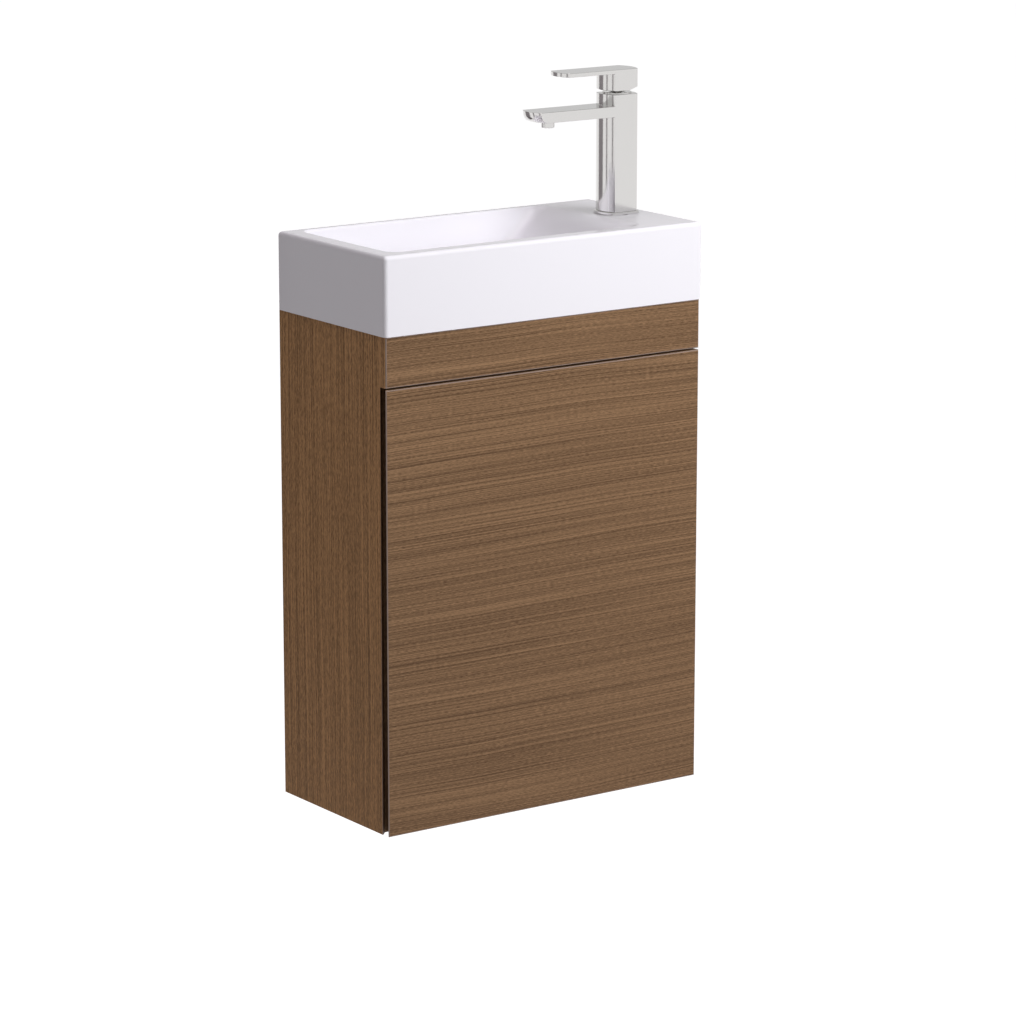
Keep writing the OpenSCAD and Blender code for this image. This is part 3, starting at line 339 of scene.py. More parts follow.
def board_finish(face, thin):
    """Place of a face's finish in the board's list: the axis that it looks along, or 3 on a narrow arris,
    whose edging has a painted highlight.
    """
    slanted, square, edging = 0.1, 0.95, 3
    lean = [abs(c) for c in face.normal]
    width = 2 * face.calc_area() / face.calc_perimeter()
    if sorted(lean)[1] > slanted and width < EDGING_WIDTH * MM:
        return edging
    return thin if lean[thin] > square else max({X, Y, Z} - {thin}, key=lambda axis: lean[axis])


def softened(cad_node, body, slot, foils, width):
    """Copy of a CAD board, merged, with its arrises eased by a width in mm and the foils for x, y and z."""
    bm = bmesh.new()
    bm.from_mesh(frame["nodes"][cad_node].data)
    bmesh.ops.remove_doubles(bm, verts=bm.verts[:], dist=0.002 * MM)
    bmesh.ops.dissolve_limit(bm, angle_limit=math.radians(0.5), verts=bm.verts[:], edges=bm.edges[:],
                             use_dissolve_boundaries=False, delimit={"NORMAL"})
    bevel(bm, sharp_edges(bm, KNIFE_TURN), KNIFE_EDGE * width, segments=5)
    bevel(bm, sharp_edges(bm, ARRIS_TURN), width, segments=2)
    low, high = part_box(cad_node)
    thin = min((X, Y, Z), key=lambda axis: (high - low)[axis])
    bm.normal_update()
    for face in bm.faces:
        face.material_index = board_finish(face, thin) if foils else 0
    # The edging with its painted highlight comes last in the list
    finishes = (*foils, "edge_strip") if foils else ()
    make_piece(cad_node + "_eased", bm, body, slot, (cad_node,), finishes=finishes)


def steep_inset(size, depth, full, lip):
    """How far a steep wall lies inside the mouth at a depth: a soft lip, a slight draft and a round foot."""
    inset = size.bowl_draft * depth / full
    if depth < lip:
        inset -= lip - math.sqrt(lip ** 2 - (lip - depth) ** 2)
    foot = size.bowl_foot - (full - depth)
    if foot > 0:
        inset += size.bowl_foot - math.sqrt(size.bowl_foot ** 2 - foot ** 2)
    return inset


def ramp_reach(size, depth, full):
    """How far the ramp lies towards the tap at a depth: round head, straight slope, round foot."""
    slope = size.ramp_angle
    head, foot = (tangent / math.tan(slope / 2) for tangent in (size.ramp_head, size.ramp_foot))
    if depth < head * (1 - math.cos(slope)):
        return size.ramp_head - math.sqrt(head ** 2 - (head - depth) ** 2)
    if full - depth < foot * (1 - math.cos(slope)):
        return math.sqrt(foot ** 2 - (depth - full + foot) ** 2) - size.ramp_foot - full / math.tan(slope)
    return -depth / math.tan(slope)


def rounded_ring(bm, low, high, radius, z, segments=8):
    """Closed loop of edges round a rectangle with round corners; all lengths in metres."""
    centres = ((high.x - radius, high.y - radius), (low.x + radius, high.y - radius),
               (low.x + radius, low.y + radius), (high.x - radius, low.y + radius))
    verts = []
    for corner, (x, y) in enumerate(centres):
        for step in range(segments + 1):
            turn = (corner + step / segments) * math.pi / 2
            verts.append(bm.verts.new((x + radius * math.cos(turn), y + radius * math.sin(turn), z)))
    return [bm.edges.new(pair) for pair in zip(verts, verts[1:] + verts[:1])]


def bowl_loft(size, low, high, wall):
    """The bowl as a solid to cut with, lofted through rings from above the rim down to the floor.

    A wall in metres widens it to the outside of the ceramic.
    """
    full = size.bowl_depth + wall
    lip = 0.0 if wall else size.lip
    # Depths of the rings, closer together where the lip and the foot are round
    rings = [d * MM for d in (0.02, 0.08, 0.2, 0.4, 0.7, 1.1, 1.6, 2.2, 3, 4.2, 5.8, 7.8, 10.5)]
    rings += [full * share for share in (0.25, 0.4, 0.55, 0.68)]
    rings += [full - d * MM for d in (16, 13.5, 11, 9, 7.2, 5.6, 4.2, 3, 2, 1.2, 0.6, 0.2, 0)]
    above_rim, least_radius = 30 * MM, 4 * MM
    left, front = low.x + size.rim_left - wall, low.y + size.rim_front - wall
    back, head = high.y - size.rim_back + wall, high.x - size.deck_width + wall / math.sin(size.ramp_angle)
    bm = bmesh.new()
    loops = []
    for depth in rings[:1] + rings:
        inset = steep_inset(size, depth, full, lip)
        floor_part = max(0.0, 1 - (full - depth) / size.bowl_foot)
        radius = max(size.bowl_corner - min(inset, 0) - floor_part * size.bowl_foot / 2, least_radius)
        z = high.z - depth if loops else high.z + above_rim
        loops.append(rounded_ring(bm, Vector((left + inset, front + inset)),
                                  Vector((head + ramp_reach(size, depth, full), back - inset)), radius, z))
    for upper, lower in zip(loops, loops[1:]):
        bmesh.ops.bridge_loops(bm, edges=upper + lower)
    for loop in (loops[0], loops[-1]):
        bmesh.ops.contextual_create(bm, geom=loop)
    return bm


def lathe(bm, profile, centre, steps=64):
    """Spins a profile of (radius, height) points in mm about an upright axis.

    The profile ends on the axis, or closes on itself.
    """
    points = [bm.verts.new(((centre[0] + r) * MM, centre[1] * MM, z * MM)) for r, z in profile]
    edges = [bm.edges.new(pair) for pair in zip(points, points[1:])]
    bmesh.ops.spin(bm, geom=points + edges, cent=Vector((centre[0], centre[1], 0)) * MM, axis=(0, 0, 1),
                   angle=math.tau, steps=steps, use_merge=True, use_duplicate=False)
    bmesh.ops.remove_doubles(bm, verts=bm.verts[:], dist=0.002 * MM)


def round_bar(centre, radius, low, high):
    """Closed upright cylinder, in mm, to join or to cut with."""
    bm = bmesh.new()
    lathe(bm, [(0, low), (radius, low), (radius, high), (0, high)], centre)
    return bm


def cut_away(bm, cutters, operation="DIFFERENCE"):
    """Takes each cutter's solid out of a bmesh, or joins it, by a Boolean modifier; gives back the bmesh."""
    scene = bpy.context.scene
    for cutter in cutters:
        bmesh.ops.recalc_face_normals(cutter, faces=cutter.faces[:])
        made = []
        for name, source in (("blank", bm), ("cutter", cutter)):
            mesh = bpy.data.meshes.new(name)
            source.to_mesh(mesh)
            source.free()
            made.append(bpy.data.objects.new(name, mesh))
            scene.collection.objects.link(made[-1])
        blank, tool = made
        boolean = blank.modifiers.new("cut", "BOOLEAN")
        boolean.operation, boolean.solver, boolean.object = operation, "EXACT", tool
        bpy.context.view_layer.update()
        result = bpy.data.meshes.new_from_object(blank.evaluated_get(bpy.context.evaluated_depsgraph_get()))
        bm = bmesh.new()
        bm.from_mesh(result)
        for thing in made:
            mesh = thing.data
            bpy.data.objects.remove(thing)
            bpy.data.meshes.remove(mesh)
        bpy.data.meshes.remove(result)
    return bm


def build_basin():
    """Slip-cast basin, hollow underneath, with the waste recess and the tap hole cut through it."""
    size = bpy.context.scene.vanity_sizes
    low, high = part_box("basin")
    waste = sum(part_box("waste_body"), Vector()) / 2 / MM
    tap_x = sum(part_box("tap_stud"), Vector()).x / 2 / MM
    tap_y = sum(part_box("tap_base_ring"), Vector()).y / 2 / MM
    top, floor = high.z / MM, (high.z - size.bowl_depth) / MM
    wall = Vector([size.ceramic] * 2 + [0])

    bm = bmesh.new()
    add_box(bm, low / MM, high / MM)
    upright = [e for e in bm.edges
               if min(v.co.z for v in e.verts) < low.z + MM < max(v.co.z for v in e.verts)]
    rim = [e for e in bm.edges if min(v.co.z for v in e.verts) > high.z - MM]
    bevel(bm, upright + rim, size.corner_radius / MM, segments=5)

    hollow = bmesh.new()
    add_box(hollow, (low + wall) / MM - Vector((0, 0, OVERCUT)),
            (high - wall) / MM - Vector((0, 0, size.deck / MM)))
    hollow = cut_away(hollow, [bowl_loft(size, low, high, size.ceramic)])
    # The waste's bore, the seat of its flange and the flare of the seat's mouth
    bore_r, seat_r, flare_r = 23, 32.5, 34.5
    bore_end, seat, flare, mouth = floor - 20, floor - 3, floor - 0.8, floor + 3
    drain = bmesh.new()
    lathe(drain, [(0, bore_end), (bore_r, bore_end), (bore_r, seat), (seat_r, seat), (seat_r, flare),
                  (flare_r, mouth), (0, mouth)], waste)
    hole_r, hole_low, hole_high = 17.5, top - 40, top + 10
    tap_hole = round_bar((tap_x, tap_y), hole_r, hole_low, hole_high)
    bm = cut_away(bm, [hollow, bowl_loft(size, low, high, 0.0), drain, tap_hole])
    bmesh.ops.remove_doubles(bm, verts=bm.verts[:], dist=0.005 * MM)
    make_piece("basin_vitreous_china", bm, "cabinet", "glazed_ceramic", ("basin",), smooth_angle=30)


def tap_column(centre, half_flat, half_depth, bulge, heights, steps=24):
    """Closed column on the tap's plan, flat front and back and round sides, in storeys between heights."""
    radius = (half_depth ** 2 + bulge ** 2) / (2 * bulge)
    sweep = 2 * math.asin(half_depth / radius)
    bm = bmesh.new()
    for side in (1, -1):
        start = bm.verts.new(((centre[0] + side * half_flat) * MM, (centre[1] - side * half_depth) * MM,
                              heights[0] * MM))
        pivot = Vector((centre[0] + side * (half_flat + bulge - radius), centre[1], heights[0])) * MM
        bmesh.ops.spin(bm, geom=[start], cent=pivot, axis=(0, 0, 1), angle=sweep, steps=steps)
    around = sorted(bm.verts, key=lambda v: math.atan2(v.co.y / MM - centre[1], v.co.x / MM - centre[0]))
    face = bm.faces.new(around)
    for low, high in zip(heights, heights[1:]):
        face = bmesh.ops.extrude_discrete_faces(bm, faces=[face])["faces"][0]
        bmesh.ops.translate(bm, vec=(0, 0, (high - low) * MM), verts=face.verts[:])
    bmesh.ops.contextual_create(bm, geom=[e for e in bm.edges if e.is_boundary])
    return bm


def push_arm(bm, centre, half_flat, z_low, z_high, length):
    """Extrudes the left arc of one storey into an arm and gives back the arm's end vertices."""
    arc = [f for f in bm.faces if z_low < f.calc_center_median().z / MM < z_high
           and f.calc_center_median().x / MM < centre[0] - half_flat and abs(f.normal.z) < 0.5]
    grown = bmesh.ops.extrude_face_region(bm, geom=arc)["geom"]
    ends = [g for g in grown if isinstance(g, bmesh.types.BMVert)]
    bmesh.ops.delete(bm, geom=arc, context="FACES")
    bmesh.ops.translate(bm, vec=(-length * MM, 0, 0), verts=ends)
    return ends


def ease(bm, degrees, width, segments=3):
    """Merges flat faces and rounds every edge sharper than an angle."""
    bmesh.ops.recalc_face_normals(bm, faces=bm.faces[:])
    bmesh.ops.dissolve_limit(bm, angle_limit=math.radians(0.2), verts=bm.verts[:], edges=bm.edges[:],
                             use_dissolve_boundaries=False, delimit={"NORMAL"})
    bevel(bm, sharp_edges(bm, degrees), width, segments)


def recess(bm, edge, depth):
    """Sinks the bottom face by a depth inside an edge of this width, both in mm."""
    bm.faces.ensure_lookup_table()
    under = min(bm.faces, key=lambda f: (round(f.calc_center_median().z / MM, 2), -f.calc_area()))
    bmesh.ops.inset_region(bm, faces=[under], thickness=edge * MM, use_even_offset=True)
    sunk = bmesh.ops.extrude_discrete_faces(bm, faces=[under])["faces"][0]
    bmesh.ops.translate(bm, vec=(0, 0, depth * MM), verts=sunk.verts[:])


def build_tap_body():
    """Cast body: a column with the flat spout drawn out of its left side, its end rounded back underneath."""
    size = bpy.context.scene.vanity_sizes
    ring_low, ring_high = box_in_mm("tap_base_ring")
    low, high = box_in_mm("tap_body")
    centre = ((ring_low.x + ring_high.x) / 2, (ring_low.y + ring_high.y) / 2)
    half_flat, bulge = size.tap_flat / 2 / MM, size.tap_bulge / MM
    spout_top = (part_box("basin")[1].z + size.spout_height) / MM
    spout_low = spout_top - size.spout_thickness / MM
    # Closer together low down, where the spout's end curves back most
    levels = [spout_low + (spout_top - spout_low) * share for share in (0, 0.12, 0.3, 0.55, 1)]
    bm = tap_column(centre, half_flat, (high.y - low.y) / 2, bulge, [ring_high.z, *levels, high.z])
    bm.normal_update()
    for v in push_arm(bm, centre, half_flat, spout_low, spout_top, centre[0] - half_flat - bulge - low.x):
        down = (spout_top - v.co.z / MM) / (spout_top - spout_low)
        v.co.x += size.spout_undercut * (1 - math.sqrt(max(1 - down ** 2, 0)))
    ease(bm, degrees=30, width=size.tap_edge / MM)

    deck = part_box("basin")[1].z / MM
    shank_end, shank_top, inlet_top = deck - 6, deck + 5, deck + 6
    bm = cut_away(bm, [round_bar(centre, TAP_SHANK, shank_end, shank_top)], "UNION")
    housing_low, housing_high = box_in_mm("tap_cartridge")
    stud_low, stud_high = box_in_mm("tap_stud")
    outlet_low, outlet_high = box_in_mm("tap_aerator")
    stud, outlet = (stud_low + stud_high) / 2, (outlet_low + outlet_high) / 2
    housing_r = (housing_high.x - housing_low.x) / 2 + 0.4
    outlet_r, outlet_top = (outlet_high.x - outlet_low.x) / 2 - 0.6, outlet_high.z + 0.4
    stud_r = (stud_high.x - stud_low.x) / 2 + 0.2
    inlet_x, inlet_y, inlet_r = 7.5, 4, 4.6
    bm = cut_away(bm, [
        round_bar(centre, housing_r, housing_low.z, high.z + OVERCUT),
        round_bar(outlet, outlet_r, spout_low - OVERCUT, outlet_top),
        round_bar(stud, stud_r, shank_end - OVERCUT, inlet_top),
        *(round_bar((centre[0] + x, centre[1] + inlet_y), inlet_r, shank_end - OVERCUT, inlet_top)
          for x in (-inlet_x, inlet_x)),
    ])
    make_piece("tap_body_cast", bm, "cabinet", "chrome", ("tap_body",), smooth_angle=32)


def build_tap_lever():
    """Lever: a flat blade drawn out of the top of its block, which is bevelled underneath at the back."""
    size = bpy.context.scene.vanity_sizes
    low, high = box_in_mm("tap_lever")
    half_flat, bulge = size.tap_flat / 2 / MM, size.tap_bulge / MM
    centre = (high.x - half_flat - bulge, (low.y + high.y) / 2)
    blade = high.z - size.lever_thickness / MM
    bm = tap_column(centre, half_flat, (high.y - low.y) / 2, bulge, [low.z, blade, high.z])
    bm.normal_update()
    push_arm(bm, centre, half_flat, blade, high.z, centre[0] - half_flat - bulge - low.x)
    heel = Vector((centre[0] + size.heel / MM, 0, low.z)) * MM
    upward = Vector((-math.sin(size.lift), 0, math.cos(size.lift)))
    bmesh.ops.bisect_plane(bm, geom=bm.verts[:] + bm.edges[:] + bm.faces[:], dist=0.001 * MM, plane_co=heel,
                           plane_no=upward, clear_inner=True)
    bmesh.ops.holes_fill(bm, edges=[e for e in bm.edges if e.is_boundary])
    ease(bm, degrees=16, width=size.tap_edge / MM)

    screw_low, screw_high = box_in_mm("tap_grub_screw")
    spindle_low, spindle_high = box_in_mm("tap_spindle")
    half_socket, socket_top = (spindle_high.y - spindle_low.y) / 2 + 0.1, spindle_high.z + 0.2
    screw_r, dish_r, dish_depth = (screw_high.z - screw_low.z) / 2 + 0.15, 9.5, 2.5
    socket = bmesh.new()
    add_box(socket, (centre[0] - half_socket, centre[1] - half_socket, low.z - OVERCUT),
            (centre[0] + half_socket, centre[1] + half_socket, socket_top))
    screw_hole = round_bar((0, 0), screw_r, 0, 2 * half_socket + size.tap_flat / MM)
    bmesh.ops.rotate(screw_hole, verts=screw_hole.verts[:], matrix=Matrix.Rotation(math.pi / 2, 3, "Y"))
    bmesh.ops.translate(screw_hole, verts=screw_hole.verts[:],
                        vec=Vector((centre[0], centre[1], (screw_low.z + screw_high.z) / 2)) * MM)
    bm = cut_away(bm, [round_bar(centre, dish_r, low.z - OVERCUT, low.z + dish_depth), socket, screw_hole])
    make_piece("tap_lever_cast", bm, "lever", "chrome", ("tap_lever",), smooth_angle=14)


def build_tap_rings():
    """Base ring, base seal, collar and aerator: stamped, moulded or turned."""
    size = bpy.context.scene.vanity_sizes
    low, high = box_in_mm("tap_base_ring")
    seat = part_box("tap_base_seal")[0].z / MM
    centre, half = (low + high) / 2, (high - low) / 2
    tap_bulge, tap_half = size.tap_bulge / MM, size.tap_flat / 2 / MM
    radius = (half.y ** 2 + tap_bulge ** 2) / (2 * tap_bulge) + half.x - tap_half - tap_bulge
    half_flat = half.x - radius + math.sqrt(radius ** 2 - half.y ** 2)
    ring_edge, ring_wall, seal_edge, seal_inset = 0.8, 1.2, 0.2, 1.4
    bm = tap_column(centre, half_flat, half.y, half.x - half_flat, [seat, high.z])
    ease(bm, degrees=30, width=ring_edge)
    recess(bm, edge=ring_wall, depth=low.z - seat)
    bm = cut_away(bm, [round_bar(centre, TAP_SHANK + SHANK_PLAY, seat - OVERCUT, high.z + OVERCUT)])
    make_piece("tap_base_ring_stamped", bm, "cabinet", "chrome", ("tap_base_ring",), smooth_angle=32)

    bm = tap_column(centre, half_flat - seal_inset, half.y - seal_inset, half.x - half_flat, [seat, low.z])
    ease(bm, degrees=30, width=seal_edge, segments=1)
    bm = cut_away(bm, [round_bar(centre, TAP_SHANK + SHANK_PLAY, seat - OVERCUT, high.z + OVERCUT)])
    make_piece("tap_base_seal_moulded", bm, "cabinet", "black_rubber", ("tap_base_seal",), smooth_angle=32)

    low, high = box_in_mm("tap_collar")
    r, bore_r, neck_r = (high.x - low.x) / 2, 8.8, 12.8
    top, rim = high.z, high.z - 1.6
    neck_end = rim - 12
    bm = bmesh.new()
    # The neck in the tap's body, the rim's round edge and the bore
    lathe(bm, [(bore_r, neck_end), (neck_r, neck_end), (neck_r, rim), (r, rim), (r, top - 0.6),
               (r - 0.6, top - 0.1), (r - 1.4, top), (bore_r + 0.6, top), (bore_r, top - 0.5),
               (bore_r, neck_end)], centre)
    make_piece("tap_collar_turned", bm, "cabinet", "chrome", ("tap_collar",), smooth_angle=32)

    low, high = box_in_mm("tap_aerator")
    axis = ((low.x + high.x) / 2, (low.y + high.y) / 2)
    r, shoulder = (high.x - low.x) / 2, low.z + 7
    thread_r = r - 0.5
    bm = bmesh.new()
    # The sunk screen, the round lower lip, the shoulder and the thread
    lathe(bm, [(0, low.z + 2.4), (r - 1.6, low.z + 2.2), (r - 1.4, low.z + 0.4), (r - 1.1, low.z),
               (r - 0.4, low.z), (r, low.z + 0.4), (r, shoulder), (thread_r, shoulder), (thread_r, high.z),
               (0, high.z)], axis)
    make_piece("tap_aerator_turned", bm, "cabinet", "chrome", ("tap_aerator",), smooth_angle=32)


def build_waste():
    """Domed click plug over the turned waste flange."""
    low, high = box_in_mm("waste_plug")
    centre = ((low.x + high.x) / 2, (low.y + high.y) / 2)
    r, stem_r, boss_r = (high.x - low.x) / 2, 4, 17
    top, boss_end, under = high.z, high.z - 6.4, high.z - 4
    bm = bmesh.new()
    # The stem, the boss, the round edge and the dome
    lathe(bm, [(0, low.z), (stem_r, low.z), (stem_r, boss_end), (boss_r, boss_end), (boss_r, under),
               (r - 0.4, under), (r, under + 0.4), (r, top - 2.2), (r - 0.5, top - 1.6), (r - 8, top - 0.5),
               (r - 18, top - 0.1), (0, top)], centre)
    make_piece("waste_plug_domed", bm, "plug", "chrome", ("waste_plug",), smooth_angle=32)


def build_boards():
    """Door, fascia, side panels and inner boards, with their arrises eased as edge banding is.

    Each has its slot and the foils of the faces that look along x, y and z.
    """
    width = bpy.context.scene.vanity_sizes.board_arris / MM
    front = ("front_ends", "front_veneer", "front_edges")
    # The side panels' foils: the side and level ones are painted lighter against their shade
    side = ("side_veneer", "carcass_edges", "level_faces")
    boards = {"door_panel": ("front_veneer", front), "fascia": ("front_veneer", front),
              "side_panel_left": ("side_veneer", side), "side_panel_right": ("side_veneer", side),
              "bottom_panel": ("side_veneer", ("side_veneer", "front_veneer", "level_faces")),
              "shelf": ("white_board", ())}
    for cad_node, (slot, foils) in boards.items():
        softened(cad_node, "door" if cad_node == "door_panel" else "cabinet", slot, foils, width)


def dress_fittings():
    """Gives every CAD node that is still shown the material of its record slot."""
    slots = {row["node"]: row["material_slot"] for row in frame["record"]["subparts"]}
    for name, obj in frame["nodes"].items():
        obj.data.materials.clear()
        obj.data.materials.append(finish_of(slots[name]))


def aim(obj, target):
    """Turns a lamp's -Z towards a point."""
    obj.rotation_euler = (Vector(target) - obj.location).to_track_quat("-Z", "Y").to_euler()


def add_lamp(name, place, target, size, power, colour):
    """Square lamp of a size in metres and a power in watts, turned towards a point."""
    lamp = bpy.data.lights.new(name, "AREA")
    lamp.shape, lamp.size, lamp.energy, lamp.color = "SQUARE", size, power, colour
    obj = bpy.data.objects.new(name, lamp)
    bpy.context.scene.collection.objects.link(obj)
    obj.location = place
    aim(obj, target)
    return obj


def floor_paint():
    """Matt white paint that the camera and reflections see as paper white, and that still takes shadows."""
    # The lamps' light adds the rest that makes it white
    glow = 0.9
    mat, tree, shader, _ = new_material("floor_paint_matt", {"Roughness": 0.95,
                                                             "Base Color": linear("b3adb1")})
    path = node(tree, "ShaderNodeLightPath").outputs
    seen = node(tree, "ShaderNodeMath", {0: path["Is Camera Ray"], 1: path["Is Glossy Ray"]},
                operation="MAXIMUM")
    node(tree, "ShaderNodeMath", {0: seen.outputs[0], 1: glow}, shader.inputs["Emission Strength"],
         operation="MULTIPLY")
    shader.inputs["Emission Color"].default_value = list(bpy.context.scene.vanity_colours.backdrop) + [1.0]
    return mat


def stage_piece(name, bm, mat):
    """Links a mesh as a part of the studio."""
    mesh = bpy.data.meshes.new(name)
    bm.to_mesh(mesh)
    bm.free()
    piece = bpy.data.objects.new(name, mesh)
    bpy.context.scene.collection.objects.link(piece)
    mesh.materials.append(mat)
    return piece


def set_cards():
    """Three grey cards behind and to the left of the tap, which only show as dark bands in its chrome."""
    tap = sum(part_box("tap_base_ring"), Vector()) / 2
    # In mm from the tap
    distance, thickness, low, high = 1200, 10, -800, 700
    bm = bmesh.new()
    for turn, width in GREY_CARDS:
        card = add_box(bm, (tap / MM) + Vector((-width / 2, distance, low)),
                       (tap / MM) + Vector((width / 2, distance + thickness, high)))
        bmesh.ops.rotate(bm, verts=card, cent=tap, matrix=Matrix.Rotation(math.radians(turn), 3, "Z"))
    mat = new_material("card_grey_matt", {"Roughness": 0.9, "Base Color": linear("b4afb1")})[0]
    cards = stage_piece("grey_cards", bm, mat)
    cards.visible_camera = cards.visible_diffuse = cards.visible_shadow = cards.visible_transmission = False


def set_surroundings():
    """White world: white where it is seen, darker in reflections, and dim as a light."""
    light, mirrored_more, seen_more = 0.2, 0.45, 0.8
    world = bpy.data.worlds.new("studio")
    bpy.context.scene.world = world
    world.use_nodes = True
    tree = world.node_tree
    tree.nodes.clear()
    path = node(tree, "ShaderNodeLightPath").outputs
    seen = node(tree, "ShaderNodeMath", {0: path["Is Camera Ray"], 1: path["Is Transmission Ray"]},
                operation="MAXIMUM")
    mirrored = node(tree, "ShaderNodeMath", {0: path["Is Glossy Ray"], 1: mirrored_more, 2: light},
                    operation="MULTIPLY_ADD")
    strength = node(tree, "ShaderNodeMath", {0: seen.outputs[0], 1: seen_more, 2: mirrored.outputs[0]},
                    operation="MULTIPLY_ADD")
    backdrop = list(bpy.context.scene.vanity_colours.backdrop) + [1.0]
    background = node(tree, "ShaderNodeBackground", {"Strength": strength.outputs[0], "Color": backdrop})
    node(tree, "ShaderNodeOutputWorld", {"Surface": background.outputs["Background"]})


def set_stage():
    """Floor under the unit, white surroundings, grey cards, three soft lamps and the camera."""
    scene = bpy.context.scene
    # In metres; the unit hangs on a wall, so the floor lies below it
    floor_size, floor_drop = 12.0, 0.3
    bm = bmesh.new()
    bmesh.ops.create_grid(bm, x_segments=1, y_segments=1, size=floor_size)
    bmesh.ops.translate(bm, vec=(0, 0, CAD_BOX[0][2] - floor_drop), verts=bm.verts[:])
    stage_piece("floor", bm, floor_paint())
    set_cards()
    set_surroundings()
    front = add_lamp("front_softbox", (0.7, -1.7, 0.95), target=(0.0, -0.1, 0.1), size=1.4, power=37,
                     colour=(0.98, 0.99, 1.0))
    add_lamp("top_softbox", (-0.6, -0.2, 2.2), target=(0.0, -0.1, 0.0), size=1.6, power=13,
             colour=(1.0, 0.89, 0.95))
    # Low and beside the camera, for the edges that face it
    edge = add_lamp("edge_lamp", (-1.25, -2.0, -0.4), target=(0.1, -0.1, 0.1), size=0.35, power=1.0,
                    colour=(1.0, 1.0, 1.0))
    # The tap's flat faces would mirror either lamp whole, as bare white
    front.visible_glossy = edge.visible_glossy = False

    # Place, turn and lens come from a fit of the object's corners in the photo
    tilt, yaw = 12.90, 35.02
    cam = bpy.data.cameras.new("photo_camera")
    cam.lens = 143.3
    cam.clip_start, cam.clip_end = 0.05, 50
    camera = bpy.data.objects.new("photo_camera", cam)
    scene.collection.objects.link(camera)
    camera.location = (-2.4496, -3.6289, 0.7973)
    camera.rotation_euler = (math.radians(90 - tilt), 0, math.radians(-yaw))
    scene.camera = camera
    scene.view_settings.view_transform = "Standard"


class VanitySizes(bpy.types.PropertyGroup):
    """Sizes of the pieces that are modelled here."""

    rim_left: FloatProperty(name="Left rim", description="Rim between the left face and the bowl",
                            default=0.0215, unit="LENGTH")
    rim_front: FloatProperty(name="Front rim", description="Rim between the front face and the bowl",
                             default=0.020, unit="LENGTH")
    rim_back: FloatProperty(name="Back rim", description="Rim between the bowl and the wall",
                            default=0.012, unit="LENGTH")
    deck_width: FloatProperty(name="Tap deck", description="Width of the deck on the right",
                              default=0.078, unit="LENGTH")
    bowl_depth: FloatProperty(name="Bowl depth", description="Depth of the bowl under the rim",
                              default=0.068, unit="LENGTH")
    bowl_draft: FloatProperty(name="Bowl draft", description="Inward slope of the steep walls",
                              default=0.006, unit="LENGTH")
    bowl_foot: FloatProperty(name="Bowl foot", description="Radius between the steep walls and the floor",
                             default=0.014, unit="LENGTH")
    bowl_corner: FloatProperty(name="Bowl corners", description="Radius of the bowl's upright corners",
                               default=0.014, unit="LENGTH")
    ramp_angle: FloatProperty(name="Ramp angle", description="Slope of the ramp that rises to the tap deck",
                              default=math.radians(41.5), subtype="ANGLE")
    ramp_head: FloatProperty(name="Ramp head", description="Half width of the rounding at the ramp's head",
                             default=0.016, unit="LENGTH")
    ramp_foot: FloatProperty(name="Ramp foot", description="Half width of the rounding at the ramp's foot",
                             default=0.024, unit="LENGTH")
    ceramic: FloatProperty(name="Ceramic", description="Thickness of the ceramic",
                           default=0.008, unit="LENGTH")
    deck: FloatProperty(name="Deck", description="Thickness of the tap deck", default=0.010, unit="LENGTH")
    lip: FloatProperty(name="Lip", description="Rounding of the bowl's mouth", default=0.0028, unit="LENGTH")
    corner_radius: FloatProperty(name="Outer corners", description="Rounding of the basin's outer corners",
                                 default=0.0045, unit="LENGTH")
    tap_flat: FloatProperty(name="Tap flat", description="Length of the tap's flat faces",
                            default=0.029, unit="LENGTH")
    tap_bulge: FloatProperty(name="Tap bulge", description="Bulge of the tap's curved faces",
                             default=0.005, unit="LENGTH")
    tap_edge: FloatProperty(name="Tap edges", description="Rounding of the tap's edges",
                            default=0.0005, unit="LENGTH")
    spout_height: FloatProperty(name="Spout height", description="Top of the spout above the deck",
                                default=0.1175, unit="LENGTH")
    spout_thickness: FloatProperty(name="Spout thickness", description="Thickness of the spout",
                                   default=0.0115, unit="LENGTH")
    spout_undercut: FloatProperty(name="Spout undercut", description="How far the spout's end slopes back",
                                  default=0.007, unit="LENGTH")
    lever_thickness: FloatProperty(name="Lever thickness", description="Thickness of the lever's blade",
                                   default=0.0045, unit="LENGTH")
    heel: FloatProperty(name="Lever heel", description="Start of the bevel, to the right of the tap's axis",
                        default=0.0045, unit="LENGTH")
    lift: FloatProperty(name="Lever bevel", description="Slope of the bevel under the lever's heel",
                        default=math.radians(18), subtype="ANGLE")
    board_arris: FloatProperty(name="Board arris", description="Easing of the boards' edges",
                               default=0.0005, unit="LENGTH")


class VanityColours(bpy.types.PropertyGroup):
    """Finishes that a user would change."""

    chrome_roughness: FloatProperty(name="Chrome roughness", description="Haze of the polished chrome",
                                    default=0.12, min=0.0, max=1.0, subtype="FACTOR")
    backdrop: FloatVectorProperty(name="Backdrop", description="Colour of the floor and the background",
                                  default=(1.0, 1.0, 1.0), size=3, subtype="COLOR")


class VANITY_OT_basin(bpy.types.Operator):
    """Build the glazed basin with its bowl, ramp, waste recess and tap hole"""

    bl_idname = "vanity.basin"
    bl_label = "Build Basin"

    def execute(self, context):
        build_basin()
        return {"FINISHED"}


class VANITY_OT_tap(bpy.types.Operator):
    """Build the tap's body, lever, base ring, collar and aerator"""

    bl_idname = "vanity.tap"
    bl_label = "Build Tap"

    def execute(self, context):
        build_tap_body()
        build_tap_lever()
        build_tap_rings()
        return {"FINISHED"}


class VANITY_OT_waste(bpy.types.Operator):
    """Build the domed click plug"""

    bl_idname = "vanity.waste"
    bl_label = "Build Waste"

    def execute(self, context):
        build_waste()
        return {"FINISHED"}


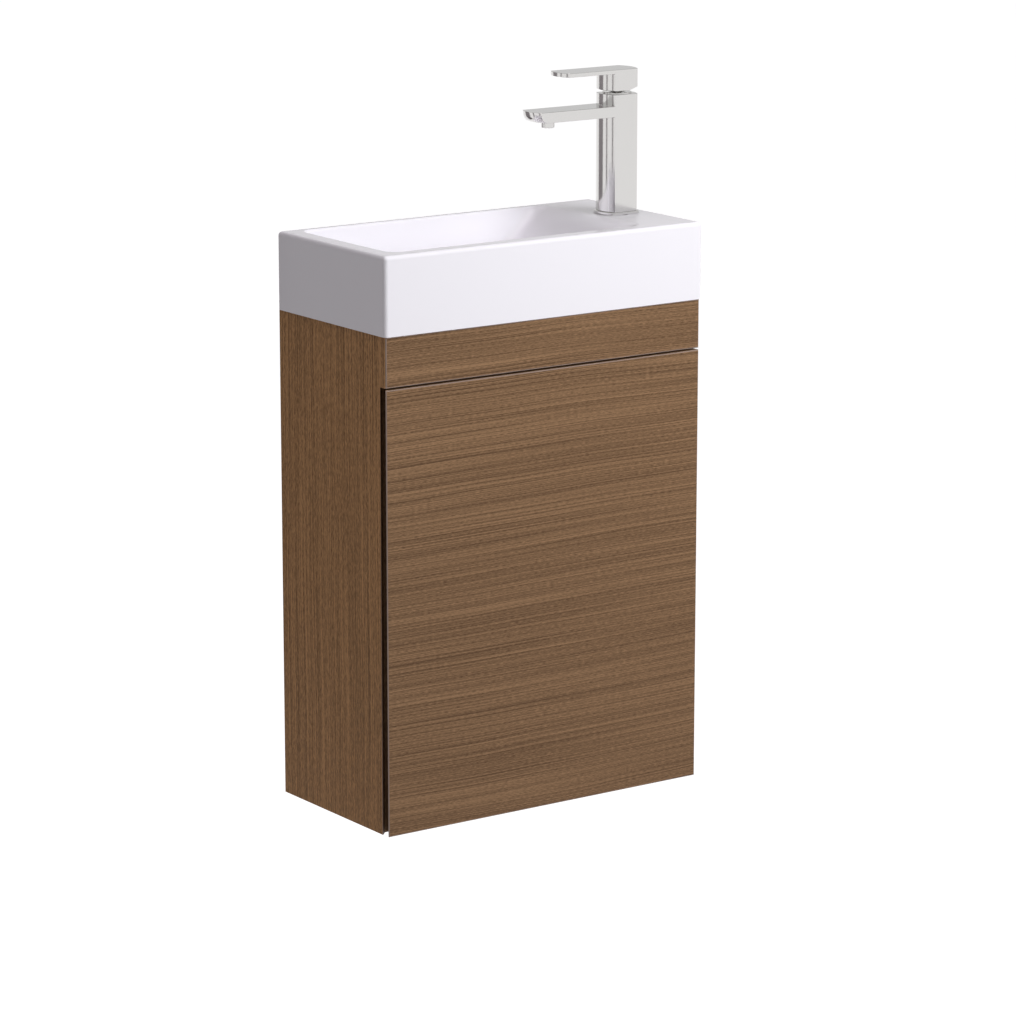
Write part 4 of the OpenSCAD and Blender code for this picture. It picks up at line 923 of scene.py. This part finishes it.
class VANITY_OT_boards(bpy.types.Operator):
    """Build the door, the fascia, the side panels and the inner boards with eased arrises"""

    bl_idname = "vanity.boards"
    bl_label = "Build Boards"

    def execute(self, context):
        build_boards()
        return {"FINISHED"}


class VANITY_OT_fittings(bpy.types.Operator):
    """Give the hinges, screws, trap and other fittings their materials"""

    bl_idname = "vanity.fittings"
    bl_label = "Dress Fittings"

    def execute(self, context):
        dress_fittings()
        return {"FINISHED"}


class VANITY_OT_stage(bpy.types.Operator):
    """Set the floor, the lamps, the surroundings and the camera"""

    bl_idname = "vanity.stage"
    bl_label = "Set Stage"

    def execute(self, context):
        set_stage()
        return {"FINISHED"}


OPERATORS = (VANITY_OT_fittings, VANITY_OT_boards, VANITY_OT_basin, VANITY_OT_waste, VANITY_OT_tap,
             VANITY_OT_stage)


class VANITY_PT_panel(bpy.types.Panel):
    """Lists the vanity's operators and sizes"""

    bl_idname = "VANITY_PT_panel"
    bl_label = "Vanity"
    bl_space_type = "VIEW_3D"
    bl_region_type = "UI"
    bl_category = "Vanity"

    def draw(self, context):
        for operator in OPERATORS:
            self.layout.operator(operator.bl_idname)
        for group in (context.scene.vanity_sizes, context.scene.vanity_colours):
            for name in group.bl_rna.properties.keys():
                if name not in ("rna_type", "name"):
                    self.layout.prop(group, name)


CLASSES = (VanitySizes, VanityColours, *OPERATORS, VANITY_PT_panel)


def register():
    for cls in CLASSES:
        bpy.utils.register_class(cls)
    bpy.types.Scene.vanity_sizes = PointerProperty(type=VanitySizes)
    bpy.types.Scene.vanity_colours = PointerProperty(type=VanityColours)


def unregister():
    del bpy.types.Scene.vanity_colours
    del bpy.types.Scene.vanity_sizes
    for cls in reversed(CLASSES):
        bpy.utils.unregister_class(cls)


def main():
    """Builds everything in order."""
    register()
    bpy.ops.vanity.fittings()
    bpy.ops.vanity.boards()
    bpy.ops.vanity.basin()
    bpy.ops.vanity.waste()
    bpy.ops.vanity.tap()
    bpy.ops.vanity.stage()


if __name__ == "__main__":
    main()
